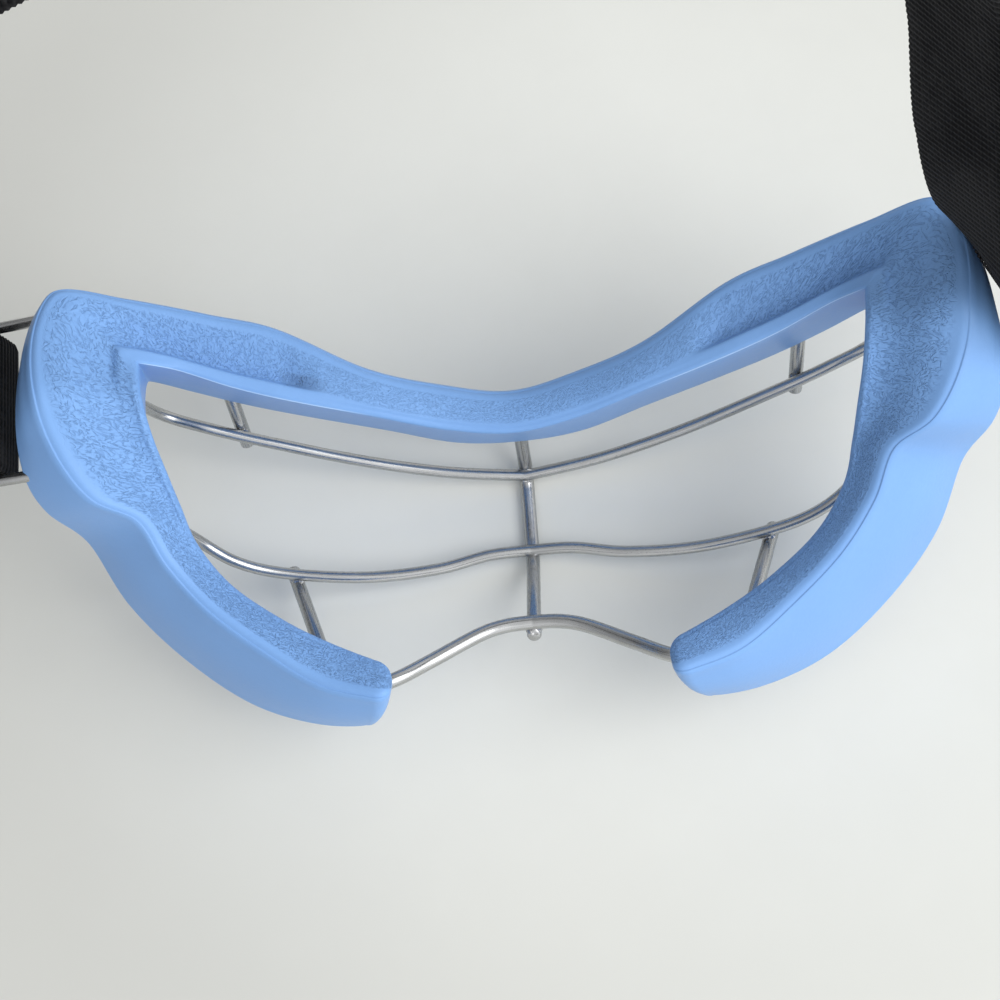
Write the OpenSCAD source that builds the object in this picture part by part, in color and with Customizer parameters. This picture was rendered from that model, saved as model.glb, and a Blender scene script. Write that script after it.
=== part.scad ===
// Field hockey goggles: soft moulded frame over a welded wire cage, elastic head strap.
// Millimetres. X is the wearer's right, Y is up as worn, Z points back to the face.
// The goggles lie front down: the centre wire touches the plane Z = 0.

/* [Moulded frame] */
// Half width of the eye opening between the temple lips
opening_half_w = 61; // [58:0.5:68]
// Height of the opening corner above the middle of the cage
opening_top = 17.7; // [15:0.1:22]
// Depth below the middle of the cage at which the cheek tips end
opening_drop = 32.7; // [28:0.1:40]
// Height of the lip above the table at the middle of the brow
bridge_lip_z = 29.4; // [26:0.1:34]
// How much further back the temples sit than the middle of the brow
wrap_depth = 24.2; // [18:0.1:28]
// Width of the face side at the nose tips
tip_face_w = 6.9; // [5:0.1:9]
// Width of the face side along the cheeks
cheek_face_w = 6.2; // [5:0.1:9]
// Width of the face side at the temples
temple_face_w = 16; // [13:0.5:20]
// Width of the face side of the brow pads
brow_pad_w = 13.2; // [10:0.2:16]
// Width of the face side at the bridge
bridge_face_w = 7.9; // [6:0.1:11]
// How much further back the parting line is than the lip at the temples
face_rise = 9; // [6:0.25:12]
// Outward flare of the outer wall at the cheeks
cheek_flare = 12.2; // [8:0.1:14]
// Outward flare of the outer wall at the temples
temple_flare = 10.5; // [5:0.5:13]
// Outward flare of the outer wall along the brow
brow_flare = 3.5; // [1:0.5:5]
// Depth of the outer wall from parting line to front
wall_depth = 16; // [12:0.5:20]
// Outward draft of the inner wall along the cheeks
cheek_draft = 3.2; // [1:0.2:5]
// Outward draft of the inner wall along the brow
brow_draft = 4; // [3:0.2:7]
// Depth of the hollow in the brow pads and temples
pad_hollow = 1.6; // [0:0.1:2.5]
// Crown of the face side where it has no hollow
face_crown = 0.7; // [0:0.1:1.5]
// Rounding of the lip next to the opening
lip_round = 1.2; // [0.6:0.1:2]
// Rounding of the outer edges
edge_round = 2.2; // [1:0.1:3]
// Length of the rounded nose tips
tip_len = 3.4; // [2:0.1:6]

/* [Wire cage] */
// Diameter of the perimeter wire and the upright wires
heavy_wire_d = 2.6; // [2.2:0.1:3.2]
// Diameter of the two cross wires and the strap loops
light_wire_d = 2; // [1.8:0.1:2.8]
// How far crossing wires melt into each other at a weld
weld_bite = 0.15; // [0.05:0.05:0.3]
// Diameter of a weld bead
weld_d = 2.9; // [2.5:0.1:3.6]
// Height of the upper cross wire above the middle of the cage
upper_wire_y = 5.6; // [4:0.1:9]
// Drop of the lower cross wire below the middle of the cage
lower_wire_y = 9.1; // [7:0.1:11]
// Place of the upper short wires, measured inward from the side of the opening
upper_short_in = 9.6; // [5:0.1:13]
// How far the upper short wires lean outward from the weld to the moulding
upper_short_lean = 1.9; // [0:0.1:4]
// Place of the lower short wires, measured inward from the side of the opening
lower_short_in = 17.4; // [13:0.1:22]
// Drop of the nose arch below the middle of the cage
arch_drop = 25.6; // [22:0.1:30]
// Height of the top of the nose arch above the table
arch_z = 16.5; // [14:0.5:22]
// Length of the wire end beyond each outer weld
nub_len = 2; // [1:0.25:3]

/* [Head strap] */
// Width of the elastic
strap_w = 25; // [20:1:30]
// Thickness of the elastic
strap_t = 1.6; // [1.2:0.1:2.2]
// Side gap between the elastic and the legs of a strap loop
strap_side_gap = 0.4; // [0.3:0.1:1.5]
// Gap between a loop bar and the elastic round it
bar_gap = 0.5; // [0.3:0.05:0.6]
// Slack of the sewn end forward of the bar
end_slack = 4; // [2:0.5:4]
// Length from the bar to where the two layers meet
end_taper = 10; // [8:0.5:14]
// Length of the sewn double layer
end_double = 7; // [7:0.5:14]
// Lean of the left strap end, outward
left_lean = 8; // [0:1:20]
// Lean of the right strap end, inward
right_lean = 27; // [20:1:36]
// Distance of the strap bars from the widest part of the outer wall
bar_out = 7.8; // [7:0.1:11]
// Height of the middle of the strap bars above the corner of the opening
bar_up = -3.2; // [-5:0.1:0]
// Distance of the strap bars in front of the temple lips
bar_front = 6.5; // [4:0.5:7]
// Length of the legs of a strap loop
leg_l = 20; // [16:0.5:23]
// Height of the top of the strap above the table
strap_top = 151; // [130:1:175]
// Height of the top of the strap above the strap bars
strap_rise = 31; // [15:0.5:35]
// Greatest turn of the elastic about its length, above the right end
strap_twist = 27; // [0:1:45]
// Bend radius of the loop wire
loop_bend_r = 2; // [1.5:0.1:2.6]

/* [Strap adjuster] */
// Distance of the adjuster's middle from the sewn left end
adjuster_reach = 12; // [12:0.5:16]
// Length of the adjuster along the elastic
adjuster_l = 20; // [16:0.5:26]
// Width of its side rails
adjuster_rail = 3; // [2:0.25:4]
// Width of its cross bars
adjuster_bar = 4; // [3:0.25:5]
// Thickness of its cross bars
adjuster_t = 2; // [1.5:0.1:3]
// Gap between the adjuster and the elastic
adjuster_gap = 0.4; // [0.3:0.05:0.8]
// Rounding of the adjuster corners
adjuster_round = 2; // [1:0.25:2.5]

/* [Stitching] */
// Length of a stitched bar across the elastic
tack_len = 19; // [14:0.5:23]
// Width of a stitched bar
tack_w = 1.6; // [1:0.1:2.4]
// Height of the stitches above the elastic
tack_h = 0.4; // [0.2:0.05:0.6]
// Spacing of the two stitched bars
tack_pitch = 3; // [2.5:0.25:4]

/* [Hidden] */
$fn = 48;
ring_steps = 4;
wire_sides = 12;
bend_steps = 6;
rh = heavy_wire_d / 2;
rl = light_wire_d / 2;
cross_z = rh + rh + rl - weld_bite;

// vectors
function unit(v) = v / norm(v);
function pick(l, i) = l[max(0, min(len(l) - 1, i))];
function cr(a, b, c, d, t) = 0.5 * (2 * b + (c - a) * t + (2 * a - 5 * b + 4 * c - d) * t * t
    + (3 * b - a - 3 * c + d) * t * t * t);
function smooth(p, n) = concat([for (i = [0 : len(p) - 2], s = [0 : n - 1])
    cr(pick(p, i - 1), p[i], p[i + 1], pick(p, i + 2), s / n)], [p[len(p) - 1]]);
function flip(v) = [-v.x, v.y, v.z];
function both(p) = concat([for (i = [len(p) - 1 : -1 : 1]) flip(p[i])], p);

// Frame sections from the nose tip round the temple to the middle of the brow.
// Lip point: across and up as shares of the opening, back as a share of the wrap.
lip = [[0.43, -1, 0.11], [0.55, -0.89, 0.09], [0.68, -0.75, 0.13], [0.82, -0.55, 0.23],
    [0.905, -0.33, 0.35], [0.935, -0.14, 0.51], [0.95, -0.01, 0.68], [0.97, 0.31, 0.88], [0.985, 0.65, 1],
    [1, 1, 0.92], [0.915, 1, 0.71], [0.77, 0.84, 0.55], [0.615, 0.69, 0.45], [0.395, 0.54, 0.26],
    [0.19, 0.41, 0.07], [0, 0.34, 0]];
// Face side: width, direction, rise from lip to parting line as a share of the temple's.
side = [[tip_face_w * 1.09, -84, 0.35], [tip_face_w * 1.23, -75, 0.35], [cheek_face_w * 1.17, -66, 0.36],
    [cheek_face_w * 1.06, -59, 0.38], [cheek_face_w * 1.09, -51, 0.46], [cheek_face_w * 1.19, -36, 0.65],
    [temple_face_w * 0.8, -25, 0.82], [temple_face_w * 0.98, -8, 0.84], [temple_face_w, 2, 0.99],
    [temple_face_w * 1.13, 42, 0.73], [brow_pad_w * 1.08, 59, 0.57], [brow_pad_w * 1.02, 74, 0.43],
    [brow_pad_w, 82, 0.28], [bridge_face_w * 1.11, 86, 0.18], [bridge_face_w * 1.05, 87, 0.14],
    [bridge_face_w, 90, 0.09]];
// Outer wall: flare, its direction, depth. Inner wall: draft, depth.
wall = [[cheek_flare * 0.25, -54, 1.09, cheek_draft * 0.82, 0.83],
    [cheek_flare * 0.43, -42, 1.23, cheek_draft * 0.87, 0.91],
    [cheek_flare * 0.75, -30, 1.37, cheek_draft * 1.02, 1.01],
    [cheek_flare * 0.91, -16, 1.4, cheek_draft * 1.03, 1.09],
    [cheek_flare * 1.07, -5, 1.28, cheek_draft * 1.03, 1.07],
    [cheek_flare * 1.15, 6, 1.04, cheek_draft, 0.98],
    [temple_flare * 1.12, 9, 0.71, cheek_draft * 0.95, 0.91],
    [temple_flare * 0.76, -2, 0.48, cheek_draft * 1.12, 0.87],
    [temple_flare * 0.46, 0, 0.36, cheek_draft, 0.92],
    [temple_flare * 0.09, 15, 0.35, brow_draft * 0.9, 1.02],
    [brow_flare, 69, 0.84, brow_draft * 0.81, 1.28], [brow_flare, 80, 1.06, brow_draft, 1.39],
    [brow_flare * 0.91, 85, 1.15, brow_draft * 1.04, 1.38],
    [brow_flare, 88, 1.13, brow_draft * 0.95, 1.29], [brow_flare * 1.07, 89, 1.1, brow_draft * 0.78, 1.15],
    [brow_flare * 0.97, 90, 1.04, brow_draft * 0.88, 1.06]];
// Hollow of the face side and its crown, as shares.
relief = [[0, 0.6], [0, 1], [0, 1], [0.1, 1], [0.25, 0.8], [0.6, 0.4], [0.9, 0], [1, 0], [1, 0],
    [1, 0], [1.1, 0], [1.1, 0], [0.9, 0.2], [0, 1], [0, 1], [0, 1]];
last = len(lip) - 1;

function row(i) = i > last ? mirrored(row(2 * last - i)) : i < 0 ? row(0) :
    [opening_half_w * lip[i].x, (lip[i].y < 0 ? opening_drop : opening_top) * lip[i].y,
     bridge_lip_z + wrap_depth * lip[i].z, side[i][0], side[i][1], face_rise * side[i][2],
     wall[i][0], wall[i][1], wall_depth * wall[i][2], wall[i][3], wall_depth * wall[i][4],
     pad_hollow * relief[i][0], face_crown * relief[i][1]];
function mirrored(r) = [-r[0], r[1], r[2], r[3], 180 - r[4], r[5], r[6], 180 - r[7], r[8], r[9],
    r[10], r[11], r[12]];
// the lip turns sharply at this section, at the upper outer corner of the opening
sharp = 9;
function section(t) = let (i = min(floor(t), last - 1),
    s = cr(row(i - 1), row(i), row(i + 1), row(i + 2), t - i),
    p = cr(row(i == sharp ? i + 1 : i - 1), row(i), row(i + 1), row(i + 1 == sharp ? i : i + 2), t - i))
    [for (k = [0 : len(s) - 1]) k < 3 ? p[k] : s[k]];
// corners: lip, parting line, outer front, inner front
function corners(r) = let (b = [r[0], r[1], r[2]], c = b + [r[3] * cos(r[4]), r[3] * sin(r[4]), r[5]],
    d = c + [r[6] * cos(r[7]), r[6] * sin(r[7]), -r[8]],
    a = b + [r[9] * cos(r[4]), r[9] * sin(r[4]), -r[10]]) [b, c, d, a];
function bend(p, q, s, k) = [for (w = [0, 0.3, 0.7, 1])
    (1 - w) * (1 - w) * (q + unit(p - q) * k) + 2 * w * (1 - w) * q + w * w * (q + unit(s - q) * k)];
// hollow profile between lip (0) and parting line (1)
valley = 0.27;
function hollow(v) = v < valley ? pow(sin(90 * v / valley), 1.5)
    : pow(cos(90 * min(1, (v - valley) / (0.95 - valley))), 2);
function face_mid(r, c) = [for (v = [0.2, 0.34, 0.5, 0.66, 0.8])
    c[0] * (1 - v) + c[1] * v + [0, 0, r[12] * sin(180 * v) - r[11] * hollow(v)]];
function ring(t) = let (r = section(t), c = corners(r))
    concat(bend(c[3], c[0], c[1], lip_round), face_mid(r, c), bend(c[0], c[1], c[2], edge_round),
        bend(c[1], c[2], c[3], edge_round * 0.8), bend(c[2], c[3], c[0], lip_round));
function sum(p, i, k = 0) = k >= len(p) ? 0 : p[k][i] + sum(p, i, k + 1);
function middle(p) = [sum(p, 0), sum(p, 1), sum(p, 2)] / len(p);

half_rings = [for (k = [0 : last * ring_steps]) ring(k / ring_steps)];
tip_mid = middle(half_rings[0]);
tip_dir = unit(tip_mid - middle(half_rings[1]));
// the end of a tip closes toward its face side
tip_shift = ((corners(row(0))[0] + corners(row(0))[1]) / 2 - tip_mid) * 0.5;
tip_rings = [for (a = [80, 60, 35]) [for (p = half_rings[0])
    tip_mid + tip_shift * (1 - cos(a)) + (p - tip_mid) * cos(a) + tip_dir * tip_len * sin(a)]];
right_rings = concat(tip_rings, half_rings);
all_rings = concat(right_rings, [for (i = [len(right_rings) - 2 : -1 : 0]) [for (p = right_rings[i]) flip(p)]]);
tip_end = tip_mid + tip_shift + tip_dir * tip_len;

// skin over a list of rings, closed by a point at each end
module skin(rings, start, end) {
    n = len(rings[0]);
    m = len(rings);
    polyhedron(concat([for (r = rings, p = r) p], [start, end]),
        concat([for (i = [0 : m - 2], j = [0 : n - 1], h = [0, 1]) h == 0
                ? [i * n + j, (i + 1) * n + j, i * n + (j + 1) % n]
                : [(i + 1) * n + j, (i + 1) * n + (j + 1) % n, i * n + (j + 1) % n]],
            [for (j = [0 : n - 1]) [j, (j + 1) % n, m * n]],
            [for (j = [0 : n - 1]) [(m - 1) * n + (j + 1) % n, (m - 1) * n + j, m * n + 1]]));
}
function tangent(p, i) = unit(pick(p, i + 1) - pick(p, i - 1));
function tube_ring(c, t, up, r) = let (x = unit(cross(up, t)), y = cross(t, x))
    [for (k = [0 : wire_sides - 1]) c + r * (cos(360 * k / wire_sides) * x + sin(360 * k / wire_sides) * y)];
module wire(p, r, up) skin([for (i = [0 : len(p) - 1]) tube_ring(p[i], tangent(p, i), up, r)],
    p[0], p[len(p) - 1]);
module closed_wire(p, r, up) {
    m = len(p);
    rings = [for (i = [0 : m - 1]) tube_ring(p[i], unit(p[(i + 1) % m] - p[(i + m - 1) % m]), up, r)];
    n = wire_sides;
    polyhedron([for (q = rings, v = q) v], [for (i = [0 : m - 1], j = [0 : n - 1], h = [0, 1]) h == 0
        ? [i * n + j, ((i + 1) % m) * n + j, i * n + (j + 1) % n]
        : [((i + 1) % m) * n + j, ((i + 1) % m) * n + (j + 1) % n, i * n + (j + 1) % n]]);
}
module rod(a, b, d) {
    v = b - a;
    translate(a) rotate([0, acos(v.z / norm(v)), atan2(v.y, v.x)]) cylinder(d = d, h = norm(v));
}
// route with its corners rounded to given radii
function setback(p, i, r) = r / tan(acos(unit(p[i - 1] - p[i]) * unit(p[i + 1] - p[i])) / 2);
function corner(p, i, r) = let (u = unit(p[i - 1] - p[i]), w = unit(p[i + 1] - p[i]), th = acos(u * w),
    c = p[i] + unit(u + w) * r / sin(th / 2), e = unit(p[i] + u * setback(p, i, r) - c),
    f = unit(cross(cross(e, p[i] + w * setback(p, i, r) - c), e)))
    [for (k = [0 : bend_steps]) c + r * (cos((180 - th) * k / bend_steps) * e + sin((180 - th) * k / bend_steps) * f)];
function route(p, r) = concat([p[0]], [for (i = [1 : len(p) - 2], q = corner(p, i, r[i])) q], [p[len(p) - 1]]);

// Perimeter wire: nose arch outside, the rest inside the moulding
arch_half = [for (q = [[0, 0, 0], [0.08, 0.01, 0.03], [0.16, 0.055, 0.09], [0.295, 0.19, 0.28], [0.4, 0.3, 0.52]])
    [opening_half_w * q.x, -arch_drop - opening_drop * q.y, arch_z * (1 + q.z)]];
core_half = [for (k = [1 : 2 : last * 2]) middle(corners(section(k / 2)))];
perimeter_half = smooth(concat(arch_half, core_half, [middle(corners(section(last)))]), 3);
perimeter_loop = concat(perimeter_half, [for (i = [len(perimeter_half) - 2 : -1 : 1]) flip(perimeter_half[i])]);

// Cross wires, right half from the middle outward
temple_core = middle(corners(section(8.4)));
cheek_core = middle(corners(section(6.2)));
bow = bridge_lip_z + wrap_depth - cross_z;
core_in = rh + rl - weld_bite;
upper_half = smooth(concat([for (q = [[0, 0, 0], [0.24, 0.09, 0.035], [0.49, 0.23, 0.12], [0.74, 0.415, 0.227],
    [0.935, 0.58, 0.314], [1.08, 0.73, 0.407]])
    [opening_half_w * q.x, upper_wire_y + opening_top * q.y, cross_z + bow * q.z]],
    [temple_core - [rl, 0, core_in + 2 * heavy_wire_d * 0.7], temple_core - [0, 0, core_in]]), 5);
lower_half = smooth(concat([for (q = [[0, 0, 0], [0.13, 0.012, 0.014], [0.295, 0.07, 0.025], [0.51, 0.09, 0.057],
    [0.74, 0.048, 0.11], [0.885, -0.015, 0.19], [0.995, -0.135, 0.31]])
    [opening_half_w * q.x, -lower_wire_y - opening_drop * q.y, cross_z + bow * q.z]],
    [cheek_core - [rl, 0, core_in + 2 * heavy_wire_d * 0.7], cheek_core - [0, 0, core_in]]), 5);

// point and direction on a cross wire at distance x from the middle
function seg(p, x, i = 0) = i >= len(p) - 2 || p[i + 1].x > x ? i : seg(p, x, i + 1);
function along(p, x) = let (i = seg(p, x), f = (x - p[i].x) / (p[i + 1].x - p[i].x)) p[i] + f * (p[i + 1] - p[i]);
function heading(p, x) = let (i = seg(p, x)) unit(p[i + 1] - p[i]);
// a short wire crosses in front of the cross wire, from the moulding to just past the weld
function front_off(h, v) = let (n = unit(cross(h, v))) n.z > 0 ? -n : n;
cross_off = rh + rl - weld_bite;
upper_short_x = opening_half_w - upper_short_in;
lower_short_x = opening_half_w - lower_short_in;
upper_root = middle(corners(section(10.5))) + [0, brow_pad_w * 0.3, -wall_depth * 0.31];
upper_hit = along(upper_half, upper_short_x);
upper_pass = upper_hit + cross_off * front_off(heading(upper_half, upper_short_x), upper_hit - upper_root);
upper_top = [upper_short_x + upper_short_lean, upper_root.y, upper_root.z];
lower_root = middle(corners(section(0.7))) + [opening_half_w * 0.03, -opening_drop * 0.05, -wall_depth * 0.275];
lower_hit = along(lower_half, lower_short_x);
lower_pass = lower_hit + cross_off * front_off(heading(lower_half, lower_short_x), lower_hit - lower_root);

// Centre wire, bent in the middle plane
bridge_core = middle(corners(section(last)));
centre_bends = [0, 5, 6, 12, 0];
centre_pts = [bridge_core + [0, rh * 1.4, 0], bridge_core + [0, rh, -wall_depth * 0.47],
    [0, upper_wire_y + rh, rh], [0, -lower_wire_y - rh, rh], [0, -arch_drop - rh * 1.6, arch_z - rh * 0.86]];

// Strap loops
bar_x = corners(row(8))[2].x + bar_out;
bar_y = opening_top + bar_up;
bar_z = bridge_lip_z + wrap_depth - bar_front;
loop_y = [bar_y - strap_w / 2 - strap_side_gap - rl, bar_y + strap_w / 2 + strap_side_gap + rl];
bar_mid = [bar_x, bar_y, bar_z];
function loop_leg(y) = [[bar_x - leg_l, y, bar_z + leg_l * 0.21], [bar_x, y, bar_z]];

// Elastic
end_in = rl + bar_gap;
end_out = end_in + strap_t;
end_len = end_taper + end_double;
right_dir = [-sin(right_lean), 0, cos(right_lean)];
left_dir = [-sin(left_lean), 0, cos(left_lean)];
right_top = bar_mid + right_dir * end_len;
left_top = flip(bar_mid) + left_dir * end_len;
band_seam = 0.1;
band_start = 0.35;
straight = adjuster_reach + adjuster_l / 2;
band_pts = smooth(concat([for (r = [band_start, 2.5, 5.5]) right_top + right_dir * r],
    [for (q = [[0.855, 0.12, 0.26], [0.835, 0.31, 0.355], [0.81, 0.56, 0.51], [0.755, 0.82, 0.72],
        [0.61, 1, 0.87], [0.4, 1.08, 0.96], [0.12, 1.12, 1], [-0.2, 1.08, 0.99], [-0.52, 0.95, 0.94],
        [-0.8, 0.63, 0.84], [-0.97, 0.28, 0.7], [-1.05, 0.08, 0.56]])
        [bar_x * q.x, bar_y + strap_rise * q.y, bar_z + (strap_top - bar_z) * q.z]],
    [for (r = [straight + 8, straight - 1, adjuster_reach, 4, band_seam]) left_top + left_dir * r]), 4);
// the elastic turns out of the flat soon after the right end and back before the top
function ease(x) = let (c = max(0, min(1, x))) c * c * (3 - 2 * c);
function turn(i) = strap_twist * (ease((i / 4 - 2) / 2.5) - ease((i / 4 - 8) / 5));
function band_ring(i) = let (t = tangent(band_pts, i), a = turn(i), v = [-sin(a), cos(a), 0],
    w = unit(v - t * (t * v)), n = cross(t, w))
    [for (q = [[-1, -0.5], [-0.9, -1], [0.9, -1], [1, -0.5], [1, 0.5], [0.9, 1], [-0.9, 1], [-1, 0.5]])
        band_pts[i] + w * q.x * strap_w / 2 + n * q.y * strap_t / 2];
module strap_end() rotate([90, 0, 0]) translate([0, 0, -strap_w / 2]) linear_extrude(strap_w)
    difference() {
        union() {
            translate([0, -end_slack]) circle(r = end_out);
            polygon([[-end_out, -end_slack], [end_out, -end_slack], [end_out, 0], [strap_t, end_taper],
                [-strap_t, end_taper], [-end_out, 0]]);
            translate([-strap_t, end_taper - 0.01]) square([2 * strap_t, end_double + 0.01]);
        }
        translate([0, -end_slack]) circle(r = end_in);
        polygon([[-end_in, -end_slack], [end_in, -end_slack], [end_in, 0], [0, end_taper - 1], [-end_in, 0]]);
    }
module bar_tack() for (k = [0, 1], s = [-1, 1])
    translate([s * (strap_t + tack_h / 2), 0, end_taper + tack_w * 1.25 + k * tack_pitch])
        cube([tack_h, tack_len, tack_w], center = true);
module on_right() translate(bar_mid) rotate([0, -right_lean, 0]) children();
module on_left() translate(flip(bar_mid)) rotate([0, -left_lean, 0]) children();

// Adjuster: the elastic runs over the two outer bars and under the middle one
adjuster_at = left_top + left_dir * adjuster_reach;
adjuster_in = strap_w / 2 + adjuster_gap;
module plate(x, y, z) linear_extrude(z, center = true) difference() {
    square([x, y], center = true);
    for (a = [-1, 1], b = [-1, 1]) translate([a * (x / 2), b * (y / 2)]) difference() {
        square(2 * adjuster_round, center = true);
        translate([-a * adjuster_round, -b * adjuster_round]) circle(r = adjuster_round);
    }
}
module adjuster_body() rotate([0, 90, 0]) {
    off = strap_t / 2 + adjuster_gap + adjuster_t / 2;
    for (s = [-1, 1]) translate([s * (adjuster_l - adjuster_bar) / 2, 0, off])
        cube([adjuster_bar, 2 * adjuster_in + 0.02, adjuster_t], center = true);
    translate([0, 0, -off]) cube([adjuster_bar, 2 * adjuster_in + 0.02, adjuster_t], center = true);
    difference() {
        plate(adjuster_l, 2 * (adjuster_in + adjuster_rail), 2 * off + adjuster_t);
        cube([adjuster_l + 1, 2 * adjuster_in, 2 * off + adjuster_t + 1], center = true);
    }
}

module moulded_frame() color("cornflowerblue") skin(all_rings, tip_end, flip(tip_end));
module perimeter_wire() color("silver") closed_wire(perimeter_loop, rh, [0, 0, 1]);
module upper_cross_wire() color("silver") wire(both(upper_half), rl, [0, 0, 1]);
module lower_cross_wire() color("silver") wire(both(lower_half), rl, [0, 0, 1]);
module centre_wire() color("silver") wire(route(centre_pts, centre_bends), rh, [1, 0, 0]);
module upper_right_wire() color("silver") rod(upper_top, upper_pass
    + unit(upper_pass - upper_top) * (rl + nub_len), heavy_wire_d);
module upper_left_wire() mirror([1, 0, 0]) upper_right_wire();
module lower_right_wire() color("silver") rod(lower_root, lower_pass
    + unit(lower_pass - lower_root) * (rl + nub_len), heavy_wire_d);
module lower_left_wire() mirror([1, 0, 0]) lower_right_wire();
module right_strap_loop() color("silver") {
    for (k = [0, 1]) let (y = loop_y[k], s = 1 - 2 * k, leg = loop_leg(y))
        wire(route(concat(leg, [[bar_x, y + s * (loop_bend_r + 1.5), bar_z]]), [0, loop_bend_r, 0]),
            rl - 0.02, unit([leg[0].z - bar_z, 0, bar_x - leg[0].x]));
    rod([bar_x, loop_y[0] + loop_bend_r, bar_z], [bar_x, loop_y[1] - loop_bend_r, bar_z], light_wire_d);
}
module left_strap_loop() mirror([1, 0, 0]) right_strap_loop();
function bead(hit, pass) = hit + (pass - hit) * rl / cross_off;
module bead_at(p) translate(p) sphere(d = weld_d);
module upper_welds() color("darkgray") {
    bead_at(bead(upper_hit, upper_pass));
    bead_at(flip(bead(upper_hit, upper_pass)));
    bead_at([0, upper_wire_y, cross_z - rl]);
}
module lower_welds() color("darkgray") {
    bead_at(bead(lower_hit, lower_pass));
    bead_at(flip(bead(lower_hit, lower_pass)));
    bead_at([0, -lower_wire_y, cross_z - rl]);
}
module arch_weld() color("darkgray") bead_at([0, -arch_drop - rh * 0.7, arch_z - rh * 0.7]);
module strap_right_end() color("dimgray") on_right() strap_end();
module strap_left_end() color("dimgray") on_left() strap_end();
module strap_band() color("black") skin([for (i = [0 : len(band_pts) - 1]) band_ring(i)],
    band_pts[0], band_pts[len(band_pts) - 1]);
module right_bar_tacks() color("gray") on_right() bar_tack();
module left_bar_tacks() color("gray") on_left() bar_tack();
module strap_adjuster() color("darkslategray") translate(adjuster_at) rotate([0, -left_lean, 0]) adjuster_body();

moulded_frame();
perimeter_wire();
upper_cross_wire();
lower_cross_wire();
centre_wire();
upper_left_wire();
upper_right_wire();
lower_left_wire();
lower_right_wire();
left_strap_loop();
right_strap_loop();
upper_welds();
lower_welds();
arch_weld();
strap_left_end();
strap_right_end();
strap_band();
left_bar_tacks();
right_bar_tacks();
strap_adjuster();
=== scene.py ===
"""Field hockey goggles that lie front down on their wire cage, with the head strap standing free.

Metres, in the frame of the CAD. Sizes that belong to a shape are in millimetres and turned into metres by MM.
"""
from math import acos, ceil, cos, exp, pi, radians, sin, tan

import bmesh
import bpy
import numpy as np
from mathutils import Matrix, Vector, noise


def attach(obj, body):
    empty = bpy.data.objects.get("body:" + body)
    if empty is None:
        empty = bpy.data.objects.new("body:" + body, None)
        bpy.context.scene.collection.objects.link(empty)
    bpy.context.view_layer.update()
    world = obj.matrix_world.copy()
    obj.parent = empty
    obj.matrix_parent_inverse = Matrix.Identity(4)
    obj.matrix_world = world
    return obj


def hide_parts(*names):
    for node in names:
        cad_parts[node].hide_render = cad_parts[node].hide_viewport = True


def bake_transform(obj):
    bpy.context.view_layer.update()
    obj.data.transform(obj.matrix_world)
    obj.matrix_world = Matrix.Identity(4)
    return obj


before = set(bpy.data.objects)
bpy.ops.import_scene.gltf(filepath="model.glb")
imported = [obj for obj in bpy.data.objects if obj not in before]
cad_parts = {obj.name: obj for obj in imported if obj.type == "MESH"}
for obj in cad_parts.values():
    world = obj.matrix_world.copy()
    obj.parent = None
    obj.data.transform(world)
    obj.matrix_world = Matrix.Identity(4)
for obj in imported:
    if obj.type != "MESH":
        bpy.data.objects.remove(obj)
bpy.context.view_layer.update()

MM = 0.001

# camera
EYE = Vector((21.66, -93.5, 340.11)) * MM
LOOK_DOWN, LOOK_ASIDE, ROLL = radians(74.281), radians(-4.407), radians(-5.468)
LENS, SENSOR_W = 66.6, 36

# moulded frame, the sizes of the CAD
OPENING_HALF_W, OPENING_TOP, OPENING_DROP = 61.0, 17.7, 32.7
BRIDGE_LIP_Z, WRAP_DEPTH, FACE_RISE = 29.4, 24.2, 9.0
TIP_W, CHEEK_W, TEMPLE_W, BROW_W, BRIDGE_W = 6.9, 6.2, 16.0, 13.2, 7.9
CHEEK_FLARE, TEMPLE_FLARE, BROW_FLARE = 12.2, 10.5, 3.5
WALL_DEPTH, CHEEK_DRAFT, BROW_DRAFT = 16.0, 3.2, 4.0
PAD_HOLLOW, FACE_CROWN = 1.8, 0.7
LIP_ROUND, EDGE_ROUND, TIP_LEN = 1.2, 2.2, 3.4

# wire cage, the sizes of the CAD: only LIGHT_LOOK_R is thicker, for the two cross wires
HEAVY_R, LIGHT_R, WELD_BITE, WELD_D = 1.3, 1.0, 0.15, 2.9
LIGHT_LOOK_R = 1.1
UPPER_WIRE_Y, LOWER_WIRE_Y = 5.6, 9.1
UPPER_SHORT_X, LOWER_SHORT_X, UPPER_SHORT_LEAN = OPENING_HALF_W - 9.6, OPENING_HALF_W - 17.4, 1.9
ARCH_DROP, ARCH_Z, NUB_LEN = 25.6, 16.5, 2.0
CROSS_Z = 2 * HEAVY_R + LIGHT_R - WELD_BITE

# head strap
STRAP_W, STRAP_T, SIDE_GAP, BAR_GAP = 25.0, 1.6, 0.4, 0.5
END_SLACK, END_TAPER, END_DOUBLE = 4.0, 10.0, 7.0
LEFT_LEAN, RIGHT_LEAN = radians(8), radians(27)
BAR_OUT, LEG_L, LOOP_BEND_R = 7.8, 20.0, 2.0
BAR_Y, BAR_Z = OPENING_TOP - 3.2, BRIDGE_LIP_Z + WRAP_DEPTH - 6.5
STRAP_TOP, STRAP_RISE, STRAP_TWIST, END_TURN = 151.0, 31.0, radians(27), radians(24)
END_TOP = END_TAPER + END_DOUBLE
RIB, RIB_STEPS = 1.0, 4
ADJUSTER_REACH, ADJUSTER_L, ADJUSTER_RAIL, ADJUSTER_BAR = 12.0, 20.0, 3.0, 4.0
ADJUSTER_T, ADJUSTER_GAP, ADJUSTER_LAP, BAR_EDGE, RAIL_EDGE = 2.0, 0.4, 1.0, 0.7, 1.1
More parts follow.
